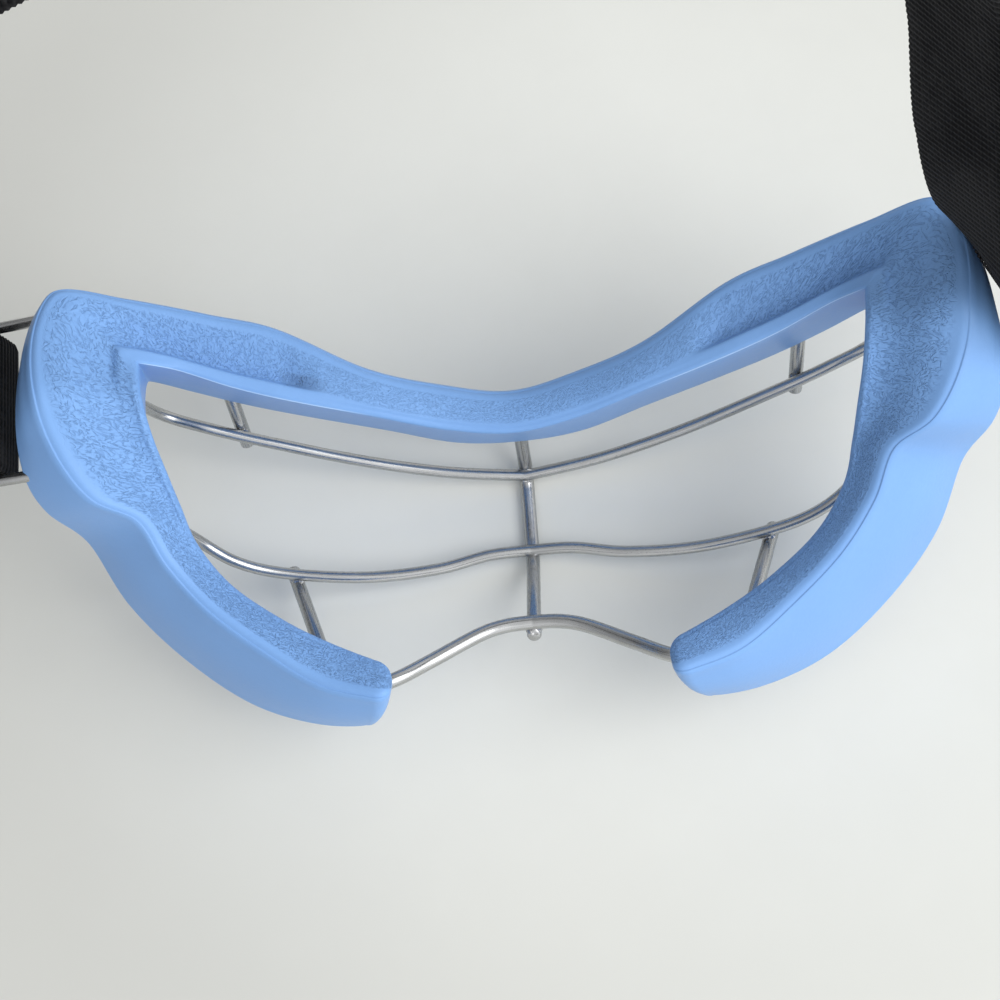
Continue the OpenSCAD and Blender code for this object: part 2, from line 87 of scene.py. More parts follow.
# straight strap that is left above the adjuster's reach
STRAIGHT_SPARE = 12.0
TACK_LEN, TACK_W, TACK_PITCH = 19.0, 1.6, 3.0
STITCH_R, STITCH_PITCH, STITCH_SIDES = 0.17, 0.42, 6


def vec(*numbers):
    return np.array(numbers, float)


def unit(v):
    return v / np.linalg.norm(v)


def flip(v):
    """The same point on the other side of the middle plane."""
    return v * vec(-1, 1, 1)


def curve_between(a, b, c, d, t):
    """Point between b and c on the smooth curve through a, b, c and d."""
    return 0.5 * (2 * b + (c - a) * t + (2 * a - 5 * b + 4 * c - d) * t * t
                  + (3 * b - a - 3 * c + d) * t ** 3)


def smooth_path(points, steps):
    """The points joined by a smooth curve with that many steps between each two."""
    held = [points[0], *points, points[-1]]
    path = [curve_between(*held[i:i + 4], s / steps) for i in range(len(points) - 1) for s in range(steps)]
    return path + [points[-1]]


def smooth_step(low, high, x):
    """0 at low, 1 at high and smooth between them."""
    t = np.clip((x - low) / (high - low), 0, 1)
    return t * t * (3 - 2 * t)


# meshes
def link(mesh, name):
    piece = bpy.data.objects.new(name, mesh)
    bpy.context.scene.collection.objects.link(piece)
    return piece


def mesh_piece(name, points, faces, uv=None, fields=None):
    """A piece from points in millimetres.

    uv holds one list of pairs for each face, and each field one value for each point."""
    mesh = bpy.data.meshes.new(name)
    mesh.from_pydata([tuple(p * MM) for p in points], [], faces)
    if uv is not None:
        layer = mesh.uv_layers.new(name="run")
        layer.data.foreach_set("uv", np.array([c for f in uv for c in f], np.float32).ravel())
    for field, values in (fields or {}).items():
        mesh.attributes.new(field, "FLOAT", "POINT").data.foreach_set("value", np.array(values, np.float32))
    mesh.polygons.foreach_set("use_smooth", [True] * len(mesh.polygons))
    work = bmesh.new()
    work.from_mesh(mesh)
    bmesh.ops.recalc_face_normals(work, faces=work.faces)
    work.to_mesh(mesh)
    work.free()
    return link(mesh, name)


def loft(name, rings, along, across, ends=True, closed=False, fields=None):
    """A skin over rings of points. along gives each ring's place in millimetres, across each point's.

    ends closes the first and last ring, closed joins them to each other."""
    m, n = len(rings), len(rings[0])
    points = [p for ring in rings for p in ring]
    faces, uv = [], []
    for i in range(m if closed else m - 1):
        k, u0, u1 = (i + 1) % m, along[i], along[i + 1]
        for j in range(n):
            q = (j + 1) % n
            faces.append((i * n + j, k * n + j, k * n + q, i * n + q))
            uv.append(((u0, across[j]), (u1, across[j]), (u1, across[j + 1]), (u0, across[j + 1])))
    if ends:
        for i, ring in ((0, rings[0]), (m - 1, rings[-1])):
            points.append(sum(ring) / n)
            for value in (fields or {}).values():
                value.append(value[i * n])
            for j in range(n):
                faces.append((i * n + j, i * n + (j + 1) % n, len(points) - 1))
                uv.append(((along[i], across[j]), (along[i], across[j + 1]), (along[i], across[j])))
    return mesh_piece(name, points, faces, uv, fields)


def lengths(points):
    """How far along a path each of its points is."""
    total, out = 0.0, [0.0]
    for a, b in zip(points, points[1:]):
        total += float(np.linalg.norm(b - a))
        out.append(total)
    return out


def joined(name, parts):
    """One piece from several meshes, which keep their places."""
    whole = bmesh.new()
    for part in parts:
        whole.from_mesh(part)
    mesh = bpy.data.meshes.new(name)
    whole.to_mesh(mesh)
    whole.free()
    mesh.polygons.foreach_set("use_smooth", [True] * len(mesh.polygons))
    return link(mesh, name)


# shaders
class Finish:
    """A material and the nodes that are placed in it."""

    def __init__(self, name, tree=None):
        if tree is None:
            self.material = bpy.data.materials.new(name)
            self.material.use_nodes = True
            tree = self.material.node_tree
            self.skin = tree.nodes["Principled BSDF"]
        self.tree = tree

    def node(self, kind, settings=None, **inputs):
        made = self.tree.nodes.new(kind)
        for key, value in (settings or {}).items():
            setattr(made, key, value)
        for key, value in inputs.items():
            self.plug(made, key.replace("_", " "), value)
        return made

    def plug(self, made, key, value):
        socket = made.inputs[int(key[1:])] if key[0] == "i" and key[1:].isdigit() else made.inputs[key]
        if isinstance(value, bpy.types.NodeSocket):
            self.tree.links.new(value, socket)
        else:
            socket.default_value = value

    def math(self, operation, a, b=0.0, c=0.0):
        return self.node("ShaderNodeMath", {"operation": operation}, i0=a, i1=b, i2=c).outputs[0]

    def noise(self, at, scale, detail=2.0, roughness=0.5):
        made = self.node("ShaderNodeTexNoise", None, Vector=at, Scale=scale, Detail=detail,
                         Roughness=roughness)
        return made.outputs["Fac"]

    def stretched(self, at, scale):
        return self.node("ShaderNodeMapping", None, Vector=at, Scale=scale).outputs[0]

    def ramp(self, value, low, high, start=0.0, end=1.0):
        made = self.node("ShaderNodeMapRange", {"interpolation_type": "SMOOTHSTEP"}, Value=value)
        for key, number in (("From Min", low), ("From Max", high), ("To Min", start), ("To Max", end)):
            self.plug(made, key, number)
        return made.outputs[0]

    def mix(self, share, a, b):
        made = self.node("ShaderNodeMix", {"data_type": "RGBA"})
        self.plug(made, "i0", share)
        self.plug(made, "i6", a)
        self.plug(made, "i7", b)
        return made.outputs[2]

    def field(self, name):
        return self.node("ShaderNodeAttribute", {"attribute_name": name}).outputs["Fac"]

    def run(self, along=1.0, across=1.0):
        """Place on the surface in millimetres, along and across the piece."""
        at = self.node("ShaderNodeUVMap", {"uv_map": "run"}).outputs[0]
        return self.stretched(at, (along, across, 1.0))

    def place(self, scale=1000.0):
        """Place in the piece, in millimetres unless a scale is given."""
        at = self.node("ShaderNodeTexCoord").outputs["Object"]
        return self.stretched(at, (scale, scale, scale))

    def bump(self, height, distance, strength=1.0, below=None):
        made = self.node("ShaderNodeBump", None, Height=height, Distance=distance, Strength=strength)
        if below is not None:
            self.plug(made, "Normal", below)
        return made.outputs[0]

    def group(self, tree, **inputs):
        made = self.tree.nodes.new("ShaderNodeGroup")
        made.node_tree = tree
        for key, value in inputs.items():
            self.plug(made, key.replace("_", " "), value)
        return made

    def set(self, **inputs):
        for key, value in inputs.items():
            self.plug(self.skin, key.replace("_", " "), value)
        return self.material


def effect(name, inputs, outputs):
    """An empty node group with its sockets, and the nodes at its two ends."""
    tree = bpy.data.node_groups.new(name, "ShaderNodeTree")
    for socket, kind, value in inputs:
        made = tree.interface.new_socket(name=socket, in_out="INPUT", socket_type=kind)
        if value is not None:
            made.default_value = value
    for socket, kind in outputs:
        tree.interface.new_socket(name=socket, in_out="OUTPUT", socket_type=kind)
    start, end = tree.nodes.new("NodeGroupInput"), tree.nodes.new("NodeGroupOutput")
    return Finish(name, tree), start.outputs, end.inputs


def scattered_specks():
    """Small irregular specks of dirt or lint: Mask is 1 on a speck."""
    work, given, out = effect(
        "scattered specks",
        [("Vector", "NodeSocketVector", None), ("Scale", "NodeSocketFloat", 0.4),
         ("Share", "NodeSocketFloat", 0.1), ("Size", "NodeSocketFloat", 0.2)],
        [("Mask", "NodeSocketFloat")])
    bent = work.node("ShaderNodeTexNoise", None, Vector=given["Vector"], Scale=2.0).outputs["Color"]
    moved = work.node("ShaderNodeVectorMath", {"operation": "MULTIPLY_ADD"}, i0=bent, i1=(0.9, 0.9, 0.9),
                      i2=given["Vector"]).outputs[0]
    cells = work.node("ShaderNodeTexVoronoi", None, Vector=moved, Scale=given["Scale"])
    chosen = work.node("ShaderNodeSeparateColor", None, Color=cells.outputs["Color"]).outputs[0]
    near = work.math("LESS_THAN", chosen, given["Share"])
    size = work.math("MULTIPLY", given["Size"], work.ramp(chosen, 0.0, 0.12, 0.4, 1.0))
    inside = work.math("SUBTRACT", 1.0, work.math("DIVIDE", cells.outputs["Distance"], size))
    work.tree.links.new(work.math("MULTIPLY", near, work.ramp(inside, 0.0, 0.35)), out["Mask"])
    return work.tree


def uneven_tone():
    """Slow changes of tone and gloss over a surface, about 0.5."""
    work, given, out = effect(
        "uneven tone",
        [("Vector", "NodeSocketVector", None), ("Slow", "NodeSocketFloat", 0.04),
         ("Fine", "NodeSocketFloat", 0.6)],
        [("Tone", "NodeSocketFloat"), ("Gloss", "NodeSocketFloat")])
    slow = work.noise(given["Vector"], given["Slow"], 3.0)
    fine = work.noise(given["Vector"], given["Fine"], 4.0, 0.6)
    work.tree.links.new(work.math("MULTIPLY_ADD", fine, 0.35, work.math("MULTIPLY", slow, 0.65)), out["Tone"])
    work.tree.links.new(work.math("MULTIPLY_ADD", slow, 0.5, work.math("MULTIPLY", fine, 0.5)), out["Gloss"])
    return work.tree


def knitted_ribs():
    """Ribs across an elastic with warp threads over them, and a mask that is 1 where they are deepest, for
    painted shade in the gaps.
    """
    work, given, out = effect(
        "knitted ribs",
        [("Vector", "NodeSocketVector", None), ("Rib", "NodeSocketFloat", 1.0),
         ("Warp", "NodeSocketFloat", 0.8)],
        [("Height", "NodeSocketFloat"), ("Gap", "NodeSocketFloat")])
    parts = work.node("ShaderNodeSeparateXYZ", None, Vector=given["Vector"]).outputs
    wander = work.noise(given["Vector"], 0.8, 2.0)
    turn = work.math("MULTIPLY", work.math("DIVIDE", parts[0], given["Rib"]), 2 * pi)
    side = work.math("MULTIPLY", work.math("DIVIDE", parts[1], given["Warp"]), 2 * pi)
    rib = work.math("SINE", work.math("MULTIPLY_ADD", wander, 1.2, turn))
    thread = work.math("SINE", work.math("MULTIPLY_ADD", wander, 1.6, side))
    stitch = work.math("MULTIPLY", work.math("SINE", work.math("MULTIPLY_ADD", side, 0.5, turn)), thread)
    height = work.math("ADD", work.math("MULTIPLY_ADD", rib, 0.25, 0.5),
                       work.math("MULTIPLY_ADD", stitch, 0.13, work.math("MULTIPLY", thread, 0.1)))
    work.tree.links.new(height, out["Height"])
    # the mask for painted shade in the gaps between the ribs
    work.tree.links.new(work.ramp(height, 0.45, 0.1), out["Gap"])
    return work.tree


SPECKS, TONE, RIBS = scattered_specks(), uneven_tone(), knitted_ribs()

MOULDED_BLUE, MOULDED_PALER = (0.185, 0.358, 0.69, 1), (0.197, 0.378, 0.72, 1)
# the last colour here is a painted highlight, the thin light line along the lip of the opening
MOULDED_DEEP, MOULDED_LIP_HIGHLIGHT = (0.06, 0.135, 0.34, 1), (0.55, 0.74, 1.0, 1)
DIRT, LINT = (0.035, 0.045, 0.07, 1), (0.3, 0.3, 0.3, 1)
STEEL_DARK, STEEL_LIGHT, STEEL_DULL = (0.4, 0.405, 0.405, 1), (0.54, 0.545, 0.545, 1), (0.36, 0.36, 0.365, 1)
WELD_DARK, WELD_LIGHT = (0.34, 0.34, 0.35, 1), (0.62, 0.62, 0.62, 1)
# the first colour is the darkest elastic, used for its uneven tone and for painted shade between the ribs
ELASTIC_DEEP, ELASTIC_FACE = (0.003, 0.003, 0.004, 1), (0.022, 0.022, 0.023, 1)
THREAD_DARK, THREAD_LIGHT = (0.02, 0.02, 0.022, 1), (0.05, 0.05, 0.055, 1)
PLASTIC_DARK, PLASTIC_LIGHT = (0.014, 0.014, 0.016, 1), (0.026, 0.026, 0.028, 1)
PLASTIC_SCUFF = (0.09, 0.09, 0.095, 1)
# painted light on the table: darker to the left, lighter to the right where the light comes from
TABLE_SHADED_LEFT, TABLE_LIT_RIGHT = (0.595, 0.595, 0.56, 1), (0.69, 0.695, 0.655, 1)
# the first colour here is a painted pool of light round the goggles, which lifts their shadow on the table
TABLE_LIT_NEAR, TABLE_DULL, TABLE_MARK = (0.77, 0.775, 0.735, 1), (0.5, 0.5, 0.47, 1), (0.2, 0.2, 0.19, 1)
# how far the creases of the grain are turned from the way of the lip
GRAIN_TURN = radians(25)


def soft_moulding():
    """Blue soft moulding: satin walls, fine creased grain on the face side, a painted highlight line along
    the lip, a little dirt.
    """
    work = Finish("soft_moulding")
    grain = work.field("grain")
    tone = work.group(TONE, Vector=work.place(), Slow=0.05, Fine=0.9).outputs
    turned = work.node("ShaderNodeMapping", {"vector_type": "TEXTURE"}, Vector=work.run(),
                       Rotation=(0, 0, GRAIN_TURN))
    wide = work.stretched(turned.outputs[0], (0.85, 1.45, 1.0))
    warp = work.node("ShaderNodeTexNoise", None, Vector=wide, Scale=0.4, Detail=2.0).outputs["Color"]
    bent = work.node("ShaderNodeVectorMath", {"operation": "MULTIPLY_ADD"}, i0=warp, i1=(2.6, 2.6, 0.0),
                     i2=wide).outputs[0]
    streak = work.noise(bent, 1.8, 2.0, 0.5)
    vein = work.math("ABSOLUTE", work.math("SUBTRACT", streak, 0.5))
    broken = work.ramp(work.noise(bent, 2.4, 1.0), 0.38, 0.56)
    crease = work.math("MULTIPLY", work.math("MULTIPLY", work.ramp(vein, 0.08, 0.0), broken), grain)
    pebble = work.noise(work.run(), 2.4, 2.0, 0.6)
    rough_face = work.math("MULTIPLY", pebble, grain)

    base = work.mix(work.ramp(tone["Tone"], 0.3, 0.7), MOULDED_BLUE, MOULDED_PALER)
    base = work.mix(work.math("MULTIPLY", crease, 0.24), base, MOULDED_DEEP)
    base = work.mix(work.math("MULTIPLY", work.math("MULTIPLY", work.ramp(pebble, 0.55, 0.3), grain), 0.15),
                    base, MOULDED_DEEP)
    specks = work.group(SPECKS, Vector=work.run(), Scale=0.16, Share=0.16, Size=0.045).outputs[0]
    soiled = work.group(SPECKS, Vector=work.run(), Scale=1.4, Share=0.7, Size=0.3).outputs[0]
    dirt = work.math("MAXIMUM", work.math("MULTIPLY", specks, work.ramp(grain, 0.2, 0.8)),
                     work.math("MULTIPLY", soiled, work.field("dirt")))
    base = work.mix(work.math("MULTIPLY", dirt, 0.5), base, DIRT)
    base = work.mix(work.math("MULTIPLY", work.field("dirt"), 0.25), base, DIRT)
    # painted highlight: a thin light line along the lip, where its rounded edge catches the light
    base = work.mix(work.math("MULTIPLY", work.field("lip_highlight"), 0.85), base, MOULDED_LIP_HIGHLIGHT)

    gloss = work.ramp(tone["Gloss"], 0.3, 0.7, 0.33, 0.42)
    roughness = work.math("MULTIPLY_ADD", grain, 0.2, gloss)
    fine = work.bump(work.noise(work.place(), 1.6, 3.0), 0.00006, 0.5)
    highlight_and_bump = work.bump(rough_face, 0.0002, 0.8, fine)
    normal = work.bump(work.math("SUBTRACT", 1.0, crease), 0.00016, 0.8, highlight_and_bump)
    return work.set(Base_Color=base, Roughness=roughness, Normal=normal, IOR=1.3)


def drawn_steel():
    """Satin steel wire with fine marks along it."""
    work = Finish("drawn_steel")
    streak = work.noise(work.run(0.05, 3.0), 1.6, 3.0, 0.6)
    tone = work.group(TONE, Vector=work.place(), Slow=0.08, Fine=1.2).outputs
    base = work.mix(work.ramp(streak, 0.35, 0.65), STEEL_DARK, STEEL_LIGHT)
    base = work.mix(work.ramp(tone["Tone"], 0.35, 0.65, 0.0, 0.35), base, STEEL_DULL)
    roughness = work.ramp(work.math("MULTIPLY_ADD", streak, 0.5, work.math("MULTIPLY", tone["Gloss"], 0.5)),
                          0.35, 0.65, 0.23, 0.33)
    normal = work.bump(streak, 0.00003, 0.5)
    return work.set(Base_Color=base, Roughness=roughness, Normal=normal, Metallic=1.0)


def weld_metal():
    """Brighter uneven metal of the weld beads."""
    work = Finish("weld_metal")
    tone = work.group(TONE, Vector=work.place(), Slow=0.5, Fine=2.5).outputs
    base = work.mix(work.ramp(tone["Tone"], 0.35, 0.65), WELD_DARK, WELD_LIGHT)
    roughness = work.ramp(tone["Gloss"], 0.35, 0.65, 0.16, 0.34)
    normal = work.bump(work.noise(work.place(), 1.4, 3.0), 0.0003, 0.7)
    return work.set(Base_Color=base, Roughness=roughness, Normal=normal, Metallic=1.0)


def ribbed_elastic():
    """Black ribbed elastic with a little lint and painted shade in the gaps between the ribs."""
    work = Finish("ribbed_elastic")
    ribs = work.group(RIBS, Vector=work.run(), Rib=1.0, Warp=0.85).outputs
    tone = work.group(TONE, Vector=work.place(), Slow=0.06, Fine=0.9).outputs
    base = work.mix(work.ramp(tone["Tone"], 0.4, 0.6), ELASTIC_DEEP, ELASTIC_FACE)
    # painted shade: the gaps between the ribs are darkened to the deepest black
    base = work.mix(ribs["Gap"], base, ELASTIC_DEEP)
    lint = work.group(SPECKS, Vector=work.run(), Scale=0.25, Share=0.1, Size=0.03).outputs[0]
    base = work.mix(work.math("MULTIPLY", lint, 0.4), base, LINT)
    roughness = work.ramp(tone["Gloss"], 0.3, 0.7, 0.72, 0.9)
    normal = work.bump(ribs["Height"], 0.00018, 0.7)
    return work.set(Base_Color=base, Roughness=roughness, Normal=normal, IOR=1.16, Sheen_Weight=0.05,
                    Sheen_Roughness=0.5)


def tack_thread():
    """Black sewing thread, twisted."""
    work = Finish("tack_thread")
    ribs = work.group(RIBS, Vector=work.place(), Rib=0.3, Warp=0.3).outputs
    tone = work.group(TONE, Vector=work.place(), Slow=0.2, Fine=1.5).outputs
    base = work.mix(work.ramp(tone["Tone"], 0.3, 0.7), THREAD_DARK, THREAD_LIGHT)
    roughness = work.ramp(tone["Gloss"], 0.3, 0.7, 0.5, 0.65)
    return work.set(Base_Color=base, Roughness=roughness, Normal=work.bump(ribs["Height"], 0.0001, 0.6))


def adjuster_plastic():
    """Black moulded plastic with a fine matt skin and greyer scuffs."""
    work = Finish("adjuster_plastic")
    tone = work.group(TONE, Vector=work.place(), Slow=0.1, Fine=1.8).outputs
    scuffs = work.noise(work.stretched(work.place(), (0.3, 2.0, 0.3)), 1.0, 4.0, 0.6)
    base = work.mix(work.ramp(tone["Tone"], 0.3, 0.7), PLASTIC_DARK, PLASTIC_LIGHT)
    base = work.mix(work.ramp(scuffs, 0.6, 0.72, 0.0, 0.4), base, PLASTIC_SCUFF)
    roughness = work.ramp(scuffs, 0.35, 0.65, 0.38, 0.55)
    return work.set(Base_Color=base, Roughness=roughness,
                    Normal=work.bump(work.noise(work.place(), 5.0, 2.0), 0.00008, 0.5))


# moulded frame: 16 sections from the nose tip round the temple to the middle of the brow
# the lip of the opening: x and y as shares of its half width and height, z as a share of the wrap
LIP = [(0.43, -1, 0.11), (0.55, -0.89, 0.09), (0.68, -0.75, 0.13), (0.82, -0.55, 0.23), (0.905, -0.33, 0.35),
       (0.935, -0.14, 0.51), (0.95, -0.01, 0.68), (0.97, 0.31, 0.88), (0.985, 0.65, 1), (1, 1, 0.92),
       (0.915, 1, 0.71), (0.77, 0.84, 0.55), (0.615, 0.69, 0.45), (0.395, 0.54, 0.26), (0.19, 0.41, 0.07),
       (0, 0.34, 0)]
# face side: width, the way that it faces in degrees, rise from the lip to the parting line
SIDE = [(TIP_W * 1.09, -84, 0.35), (TIP_W * 1.23, -75, 0.35), (CHEEK_W * 1.17, -66, 0.36),
        (CHEEK_W * 1.06, -59, 0.38), (CHEEK_W * 1.09, -51, 0.46), (CHEEK_W * 1.19, -36, 0.65),
        (TEMPLE_W * 0.8, -25, 0.82), (TEMPLE_W * 0.98, -8, 0.84), (TEMPLE_W, 2, 0.99),
        (TEMPLE_W * 1.13, 42, 0.73), (BROW_W * 1.08, 59, 0.57), (BROW_W * 1.02, 74, 0.43), (BROW_W, 82, 0.28),
        (BRIDGE_W * 1.11, 86, 0.18), (BRIDGE_W * 1.05, 87, 0.14), (BRIDGE_W, 90, 0.09)]
# outer wall: flare, its way in degrees, depth, then draft and depth of the inner wall
WALL = [(CHEEK_FLARE * 0.25, -54, 1.09, CHEEK_DRAFT * 0.82, 0.83),
        (CHEEK_FLARE * 0.43, -42, 1.23, CHEEK_DRAFT * 0.87, 0.91),
        (CHEEK_FLARE * 0.75, -30, 1.37, CHEEK_DRAFT * 1.02, 1.01),
        (CHEEK_FLARE * 0.91, -16, 1.4, CHEEK_DRAFT * 1.03, 1.09),
        (CHEEK_FLARE * 1.07, -5, 1.28, CHEEK_DRAFT * 1.03, 1.07),
        (CHEEK_FLARE * 1.15, 6, 1.04, CHEEK_DRAFT, 0.98),
        (TEMPLE_FLARE * 1.12, 9, 0.71, CHEEK_DRAFT * 0.95, 0.91),
        (TEMPLE_FLARE * 0.76, -2, 0.48, CHEEK_DRAFT * 1.12, 0.87),
        (TEMPLE_FLARE * 0.46, 0, 0.36, CHEEK_DRAFT, 0.92),
        (TEMPLE_FLARE * 0.09, 15, 0.35, BROW_DRAFT * 0.9, 1.02),
        (BROW_FLARE, 69, 0.84, BROW_DRAFT * 0.81, 1.28),
        (BROW_FLARE, 80, 1.06, BROW_DRAFT, 1.39),
        (BROW_FLARE * 0.91, 85, 1.15, BROW_DRAFT * 1.04, 1.38),
        (BROW_FLARE, 88, 1.13, BROW_DRAFT * 0.95, 1.29),
        (BROW_FLARE * 1.07, 89, 1.1, BROW_DRAFT * 0.78, 1.15),
        (BROW_FLARE * 0.97, 90, 1.04, BROW_DRAFT * 0.88, 1.06)]
LAST = len(LIP) - 1
# the section where the lip turns sharply, at the upper outer corner of the opening
SHARP = 9
# section number and value: where the face side is hollow, crowned and raised to a crest
HOLLOW_AT = ([0, 3, 4, 5, 6, 7, 11.6, 12.05, 12.45, 15], [0, 0.1, 0.25, 0.6, 0.9, 1, 1.15, 1, 0, 0])
CROWN_AT = ([0, 1, 3, 4, 5, 6, 12, 13, 15], [0.6, 1, 1, 0.8, 0.4, 0, 0.2, 1, 1])
CREST_AT = ([6.5, 8, 9, 10, 10.8], [0, 1, 1, 0.6, 0])
# section number and value: the share of the width where the grain begins and ends, and its strength
GRAIN_FROM = ([0, 8.2, 9, 12.3, 13, 15], [-0.05, -0.05, 0.26, 0.26, 0.2, 0.2])
GRAIN_TO = ([0, 4, 6, 8, 9, 15], [0.72, 0.72, 0.78, 0.84, 0.95, 0.95])
GRAIN_DEPTH = ([0, 9, 11, 12.5, 13.5, 15], [1, 1, 0.8, 0.7, 0.6, 0.6])
# the brow steps down near the lip: share of the width where the step ends, its width, its part of the hollow
VALLEY, VALLEY_STEP, VALLEY_DEPTH = 0.3, 0.11, 1.3
# sections over which the temple's smooth dish turns into that step, and where it is shallower and how far
DISH_TO_STEP, SHALLOW_AT, SHALLOW_LEN = (7.6, 9.3), 8.9, 0.35
# shares of the width that the dish takes and where the crest starts and how wide it is, then its height
DISH_W, CREST_FROM, CREST_W, CREST_H = 0.66, 0.42, 0.56, 0.75
# point counts over the face side and each wall, and shares along the rounded corners
FACE_STEPS, WALL_STEPS = 26, 8
ROUND = [0, 0.12, 0.25, 0.38, 0.5, 0.62, 0.75, 0.88, 1]
PARTING = [0, 0.12, 0.25, 0.36, 0.44, 0.49, 0.51, 0.56, 0.64, 0.75, 0.88, 1]
PARTING_STEP, LIP_LINE = 0.16, 0.18
# the painted highlight line on the lip, which is also raised a little: its place in ROUND, and the sections
# over which it begins and ends
LINE_ROW, LINE_STARTS, LINE_ENDS = 0.38, (9, 9.5), (13.2, 12.4)
# section number and value: where dirt sits in the dent of the brow
DIRT_AT = ([11.85, 12.15, 12.3, 12.6], [0, 1, 1, 0])
FRONT_ROUND = EDGE_ROUND * 0.8
RINGS_PER_SECTION = 14
TIP_BACK, TIP_REACH = 2.4, 1.3
TIP_TURNS = (86, 78, 70, 62, 54, 45, 36, 27, 18, 9)


def section_row(i):
    """The measures of a section in millimetres and degrees. Past the last one they are mirrored."""
    if i > LAST:
        row = section_row(2 * LAST - i)
        return row * vec(-1, 1, 1, 1, -1, 1, 1, -1, 1, 1, 1) + vec(0, 0, 0, 0, 180, 0, 0, 180, 0, 0, 0)
    i = max(i, 0)
    x, y, z = LIP[i]
    width, turn, rise = SIDE[i]
    flare, way, deep, draft, inner = WALL[i]
    tall = OPENING_DROP if y < 0 else OPENING_TOP
    return vec(OPENING_HALF_W * x, tall * y, BRIDGE_LIP_Z + WRAP_DEPTH * z, width, turn, FACE_RISE * rise,
               flare, way, WALL_DEPTH * deep, draft, WALL_DEPTH * inner)


def section(t):
    """The measures of a section between two of the rows. Only its lip turns sharply at SHARP."""
    i = min(int(t), LAST - 1)
    rows = [section_row(i + k) for k in (-1, 0, 1, 2)]
    smooth = curve_between(*rows, t - i)
    if i == SHARP:
        rows[0] = rows[2]
    if i + 1 == SHARP:
        rows[3] = rows[1]
    return np.concatenate([curve_between(*rows, t - i)[:3], smooth[3:]])


def corners(row):
    """The lip, the parting line, the outer front and the inner front of a section."""
    x, y, z, width, turn, rise, flare, way, deep, draft, inner = row
    turn, way = radians(turn), radians(way)
    lip = vec(x, y, z)
    parting = lip + vec(width * cos(turn), width * sin(turn), rise)
    outer = parting + vec(flare * cos(way), flare * sin(way), -deep)
    return lip, parting, outer, lip + vec(draft * cos(turn), draft * sin(turn), -inner)


def core(t):
    """The middle of a section."""
    return sum(corners(section(t))) / 4


def bend(before, at, after, size, shares):
    """Points of a rounded corner, at these shares of the way round it."""
    p, s = at + unit(before - at) * size, at + unit(after - at) * size
    return [(1 - w) ** 2 * p + 2 * w * (1 - w) * at + w * w * s for w in shares]


def face_height(t, v):
    """Height of the face side over the straight line from the lip (v = 0) to the parting line (v = 1)."""
    hollow, crown, crest = [np.interp(t, *table) for table in (HOLLOW_AT, CROWN_AT, CREST_AT)]
    creased = smooth_step(*DISH_TO_STEP, t)
    hollow *= 1 - 0.5 * exp(-((t - SHALLOW_AT) / SHALLOW_LEN) ** 2)
    dish = sin(pi * min(1.0, max(0.0, v / DISH_W)) ** 0.8) ** 2
    if v < VALLEY:
        step = float(smooth_step(VALLEY - VALLEY_STEP, VALLEY, v))
    else:
        step = cos(pi / 2 * min(1.0, (v - VALLEY) / DISH_W)) ** 1.6
    ridge = sin(pi * min(1.0, max(0.0, (v - CREST_FROM) / CREST_W))) ** 2
    sunk = dish * (1 - creased) * 0.75 + VALLEY_DEPTH * step * creased
    return FACE_CROWN * crown * sin(pi * v) - PAD_HOLLOW * hollow * sunk + CREST_H * crest * ridge


